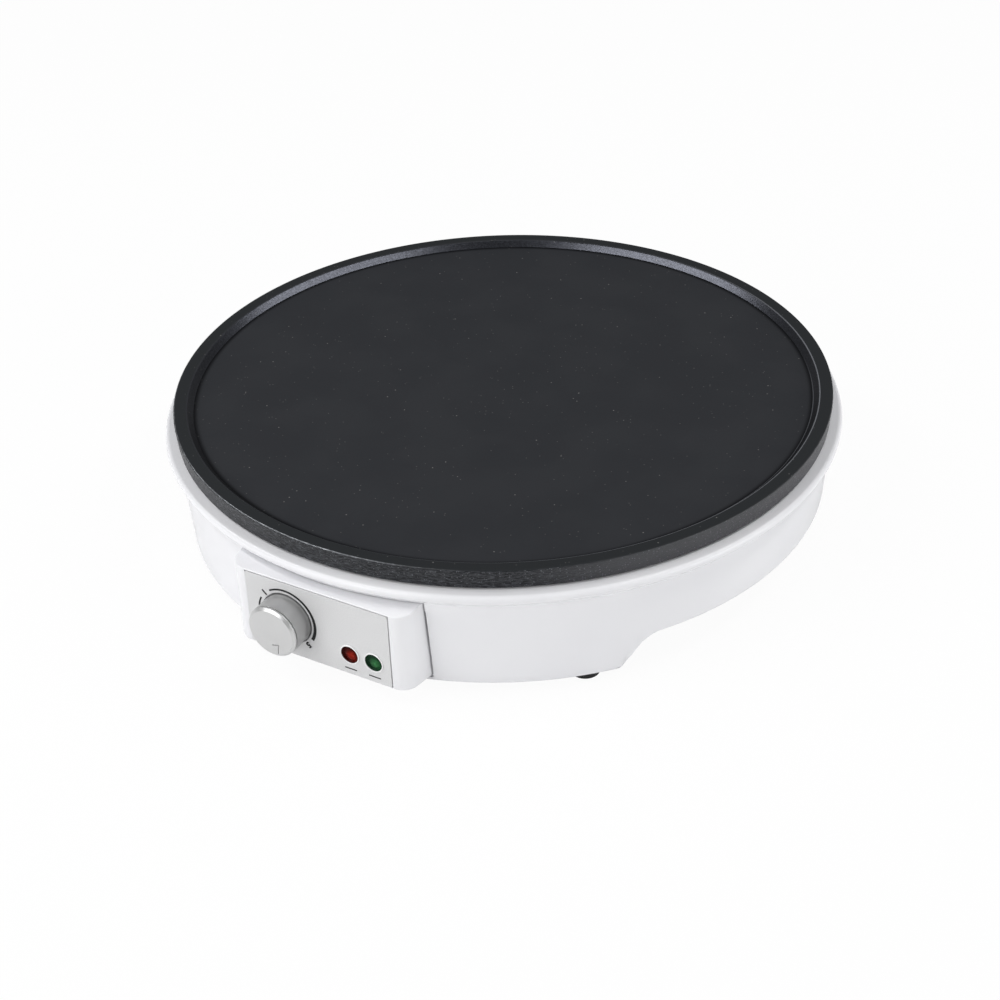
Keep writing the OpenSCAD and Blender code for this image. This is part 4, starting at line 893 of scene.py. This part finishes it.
def lamps():
    """A bright ring and a recessed, faintly domed lens for each lamp."""
    face = -panel_y
    sleeve_r, inner_r = bezel_r - 0.25 * mm, lens_r + 0.05 * mm
    bezels = []
    for name, x, colour in (("red", lamp_xs[0], "red_lens"), ("green", lamp_xs[1], "green_lens")):
        ring = lathe(name + "_bezel", [
            (inner_r, face - 3.4 * mm, 0), (sleeve_r, face - 3.4 * mm, 0), (sleeve_r, face, 0),
            (bezel_r, face, 0), (bezel_r, face + 0.5 * mm, 0.25 * mm),
            (inner_r, face + 0.5 * mm, 0.2 * mm)], steps=64, closed=True)
        bezels.append(place(ring, turn=(90, 0, 0), move=(x, 0, lamp_z)))
        lens = lathe(name + "_lens", [
            (0, face - 6 * mm, 0), (lens_r, face - 6 * mm, 0.2 * mm), (lens_r, face + 0.25 * mm, 0.1 * mm),
            (lens_r - 0.35 * mm, face + 0.2 * mm, 0.15 * mm),
            (lens_r - 0.9 * mm, face - 0.7 * mm, 0.3 * mm), (lens_r - 1.5 * mm, face - 0.3 * mm, 0.6 * mm),
            (lens_r * 0.3, face, 2 * mm), (0, face, 0)], steps=64)
        place(lens, turn=(90, 0, 0), move=(x, 0, lamp_z))
        fit(lens, "appliance", finishes[colour], [name + "_lamp_lens"])
    fit(joined("bezels", bezels), "appliance", finishes["bright_bezel"], ["lamp_bezels"])


# ---- feet and gland ----


def feet():
    """Four rubber feet with a hollow sole and a barbed stem."""
    cover_z = skirt_z + 2 * mm
    barb_z, tip_z = cover_top + 0.2 * mm, cover_top + 4 * mm
    foot = lathe("foot", [
        (0, 0.8 * mm, 0), (foot_r - 2.4 * mm, 0.8 * mm, 0.3 * mm), (foot_r - 1.6 * mm, 0, 0.2 * mm),
        (foot_r - 0.2 * mm, 0, 0.3 * mm), (foot_r, cover_z - 1 * mm, 1 * mm),
        (foot_r - 0.8 * mm, cover_z, 0.3 * mm), (foot_stem_r, cover_z, 0), (foot_stem_r, barb_z, 0),
        (foot_stem_r + 1.2 * mm, barb_z, 0.2 * mm), (foot_stem_r - 0.6 * mm, tip_z, 0.6 * mm),
        (0, tip_z, 0)], steps=64)
    corners = (("right_front", 1, -1), ("right_back", 1, 1), ("left_back", -1, 1), ("left_front", -1, -1))
    for name, side, end in corners:
        other = copied(foot, "foot_" + name, move=(side * foot_xy.x, end * foot_xy.y, 0))
        fit(other, "appliance", finishes["black_rubber"],
            ["rubber_feet"] if name == "right_front" else ())
    bpy.data.objects.remove(foot, do_unlink=True)


def gland():
    """The rubber gland of the mains inlet, on the back of the body."""
    land = wall_r + 1 * mm
    bore_r, neck_r = 3.5 * mm, gland_r - 2.1 * mm
    barb, tip = land - 5.6 * mm, land - 8.6 * mm
    ring = lathe("inlet_gland", [
        (bore_r, land + 2 * mm, 0.5 * mm), (gland_r, land + 2 * mm, 0.6 * mm), (gland_r, land, 0.2 * mm),
        (neck_r, land, 0), (neck_r, barb, 0), (gland_r - 1 * mm, barb, 0.3 * mm),
        (gland_r - 2.5 * mm, tip, 0.4 * mm), (bore_r, tip, 0.2 * mm)], steps=64, closed=True)
    place(ring, turn=(-90, 0, 0), move=(0, 0, gland_z))
    fit(ring, "appliance", finishes["black_gland"], ["cord_gland"])


# ---- carried-over parts ----


def dress_frame():
    """Gives every part of the frame the finish of its slot."""
    for row in frame["record"]["subparts"]:
        for part in bpy.data.objects:
            if part.type == 'MESH' and part.name.split('.')[0] == row["node"]:
                part.data.materials.clear()
                part.data.materials.append(finishes[row["material_slot"]])


# ---- stage ----


def aimed(turn, height):
    """The way from the object towards a turn round it and a height above it."""
    turn, height = math.radians(turn), math.radians(height)
    return Vector((math.sin(turn) * math.cos(height), -math.cos(turn) * math.cos(height), math.sin(height)))


def camera():
    """The three-quarter view from above the panel's right."""
    turn, height, roll = 31.1, 34.08, math.radians(2.15)
    distance, right_by, up_by = 0.9322, 0.00249, -0.06293
    back = aimed(turn, height)
    level = aimed(turn + 90, 0)
    upright = back.cross(level)
    right = level * math.cos(roll) - upright * math.sin(roll)
    up = level * math.sin(roll) + upright * math.cos(roll)
    bpy.ops.object.camera_add()
    eye = bpy.context.object
    eye.name = "camera"
    eye.data.lens = 73.32
    eye.data.sensor_width = 36
    eye.data.shift_x, eye.data.shift_y = -0.0078, 0.018
    eye.data.clip_end = 20
    aim = Matrix((right, up, back)).transposed().to_4x4()
    aim.translation = Vector((0, 0, rim_z)) + back * distance + right * right_by + up * up_by
    eye.matrix_world = aim
    bpy.context.scene.camera = eye


def seen_white(tree, shader, whiteness):
    """Mixes in plain white where the camera looks at it, also through glass."""
    path = tree.nodes.new('ShaderNodeLightPath')
    white = tree.nodes.new('ShaderNodeEmission')
    white.inputs['Color'].default_value = (1, 1, 1, 1)
    white.inputs['Strength'].default_value = 1
    either = tree.nodes.new('ShaderNodeMath')
    either.operation = 'MAXIMUM'
    tree.links.new(path.outputs['Is Camera Ray'], either.inputs[0])
    tree.links.new(path.outputs['Is Transmission Ray'], either.inputs[1])
    share = tree.nodes.new('ShaderNodeMath')
    share.operation = 'MULTIPLY'
    share.inputs[1].default_value = whiteness
    tree.links.new(either.outputs[0], share.inputs[0])
    mix = tree.nodes.new('ShaderNodeMixShader')
    tree.links.new(share.outputs[0], mix.inputs[0])
    tree.links.new(shader, mix.inputs[1])
    tree.links.new(white.outputs[0], mix.inputs[2])
    return mix.outputs[0]


def studio():
    """A white floor, a soft white world and four softboxes."""
    bpy.ops.mesh.primitive_plane_add(size=12)
    floor = bpy.context.object
    floor.name = "floor"
    paper = bpy.data.materials.new("floor_paper")
    paper.use_nodes = True
    shader = paper.node_tree.nodes["Principled BSDF"]
    shader.inputs['Base Color'].default_value = (0.9, 0.9, 0.9, 1)
    shader.inputs['Roughness'].default_value = 0.9
    shader.inputs['Specular IOR Level'].default_value = 0.1
    seen = seen_white(paper.node_tree, shader.outputs[0], 0.95)
    paper.node_tree.links.new(seen, paper.node_tree.nodes["Material Output"].inputs[0])
    floor.data.materials.append(paper)

    world = bpy.data.worlds.new("studio")
    bpy.context.scene.world = world
    world.use_nodes = True
    air = world.node_tree.nodes["Background"]
    air.inputs['Color'].default_value = (0.98, 0.99, 1.0, 1)
    air.inputs['Strength'].default_value = 0.22
    seen = seen_white(world.node_tree, air.outputs[0], 1)
    world.node_tree.links.new(seen, world.node_tree.nodes["World Output"].inputs[0])

    # each softbox: the turn and height of its two ends, its distance, width and power
    for name, first, last, distance, width, power in (
            ("left_lamp", (-86, 35), (-10, 62), 1.5, 0.24, 8.6),
            ("right_lamp", (70, 63), (148, 35), 1.5, 0.2, 7),
            ("front_lamp", (-46, 22), (4, 22), 1.6, 0.8, 11),
            ("side_lamp", (76, 14), (118, 14), 1.7, 0.4, 9.5)):
        ends = [aimed(*end) * distance for end in (first, last)]
        along = (ends[1] - ends[0]).normalized()
        way = ((ends[0] + ends[1]) / 2).normalized()
        bpy.ops.object.light_add(type='AREA')
        lamp = bpy.context.object
        lamp.name = name
        lamp.matrix_world = Matrix((along, way.cross(along), way)).transposed().to_4x4()
        lamp.location = way * distance
        lamp.data.shape = 'RECTANGLE'
        lamp.data.size = (ends[1] - ends[0]).length
        lamp.data.size_y = width
        lamp.data.energy = power
    bpy.context.scene.view_settings.view_transform = 'Standard'


hotplate()
body()
front_housing()
panel()
knob()
lamps()
print_marks()
feet()
gland()
dress_frame()
camera()
studio()
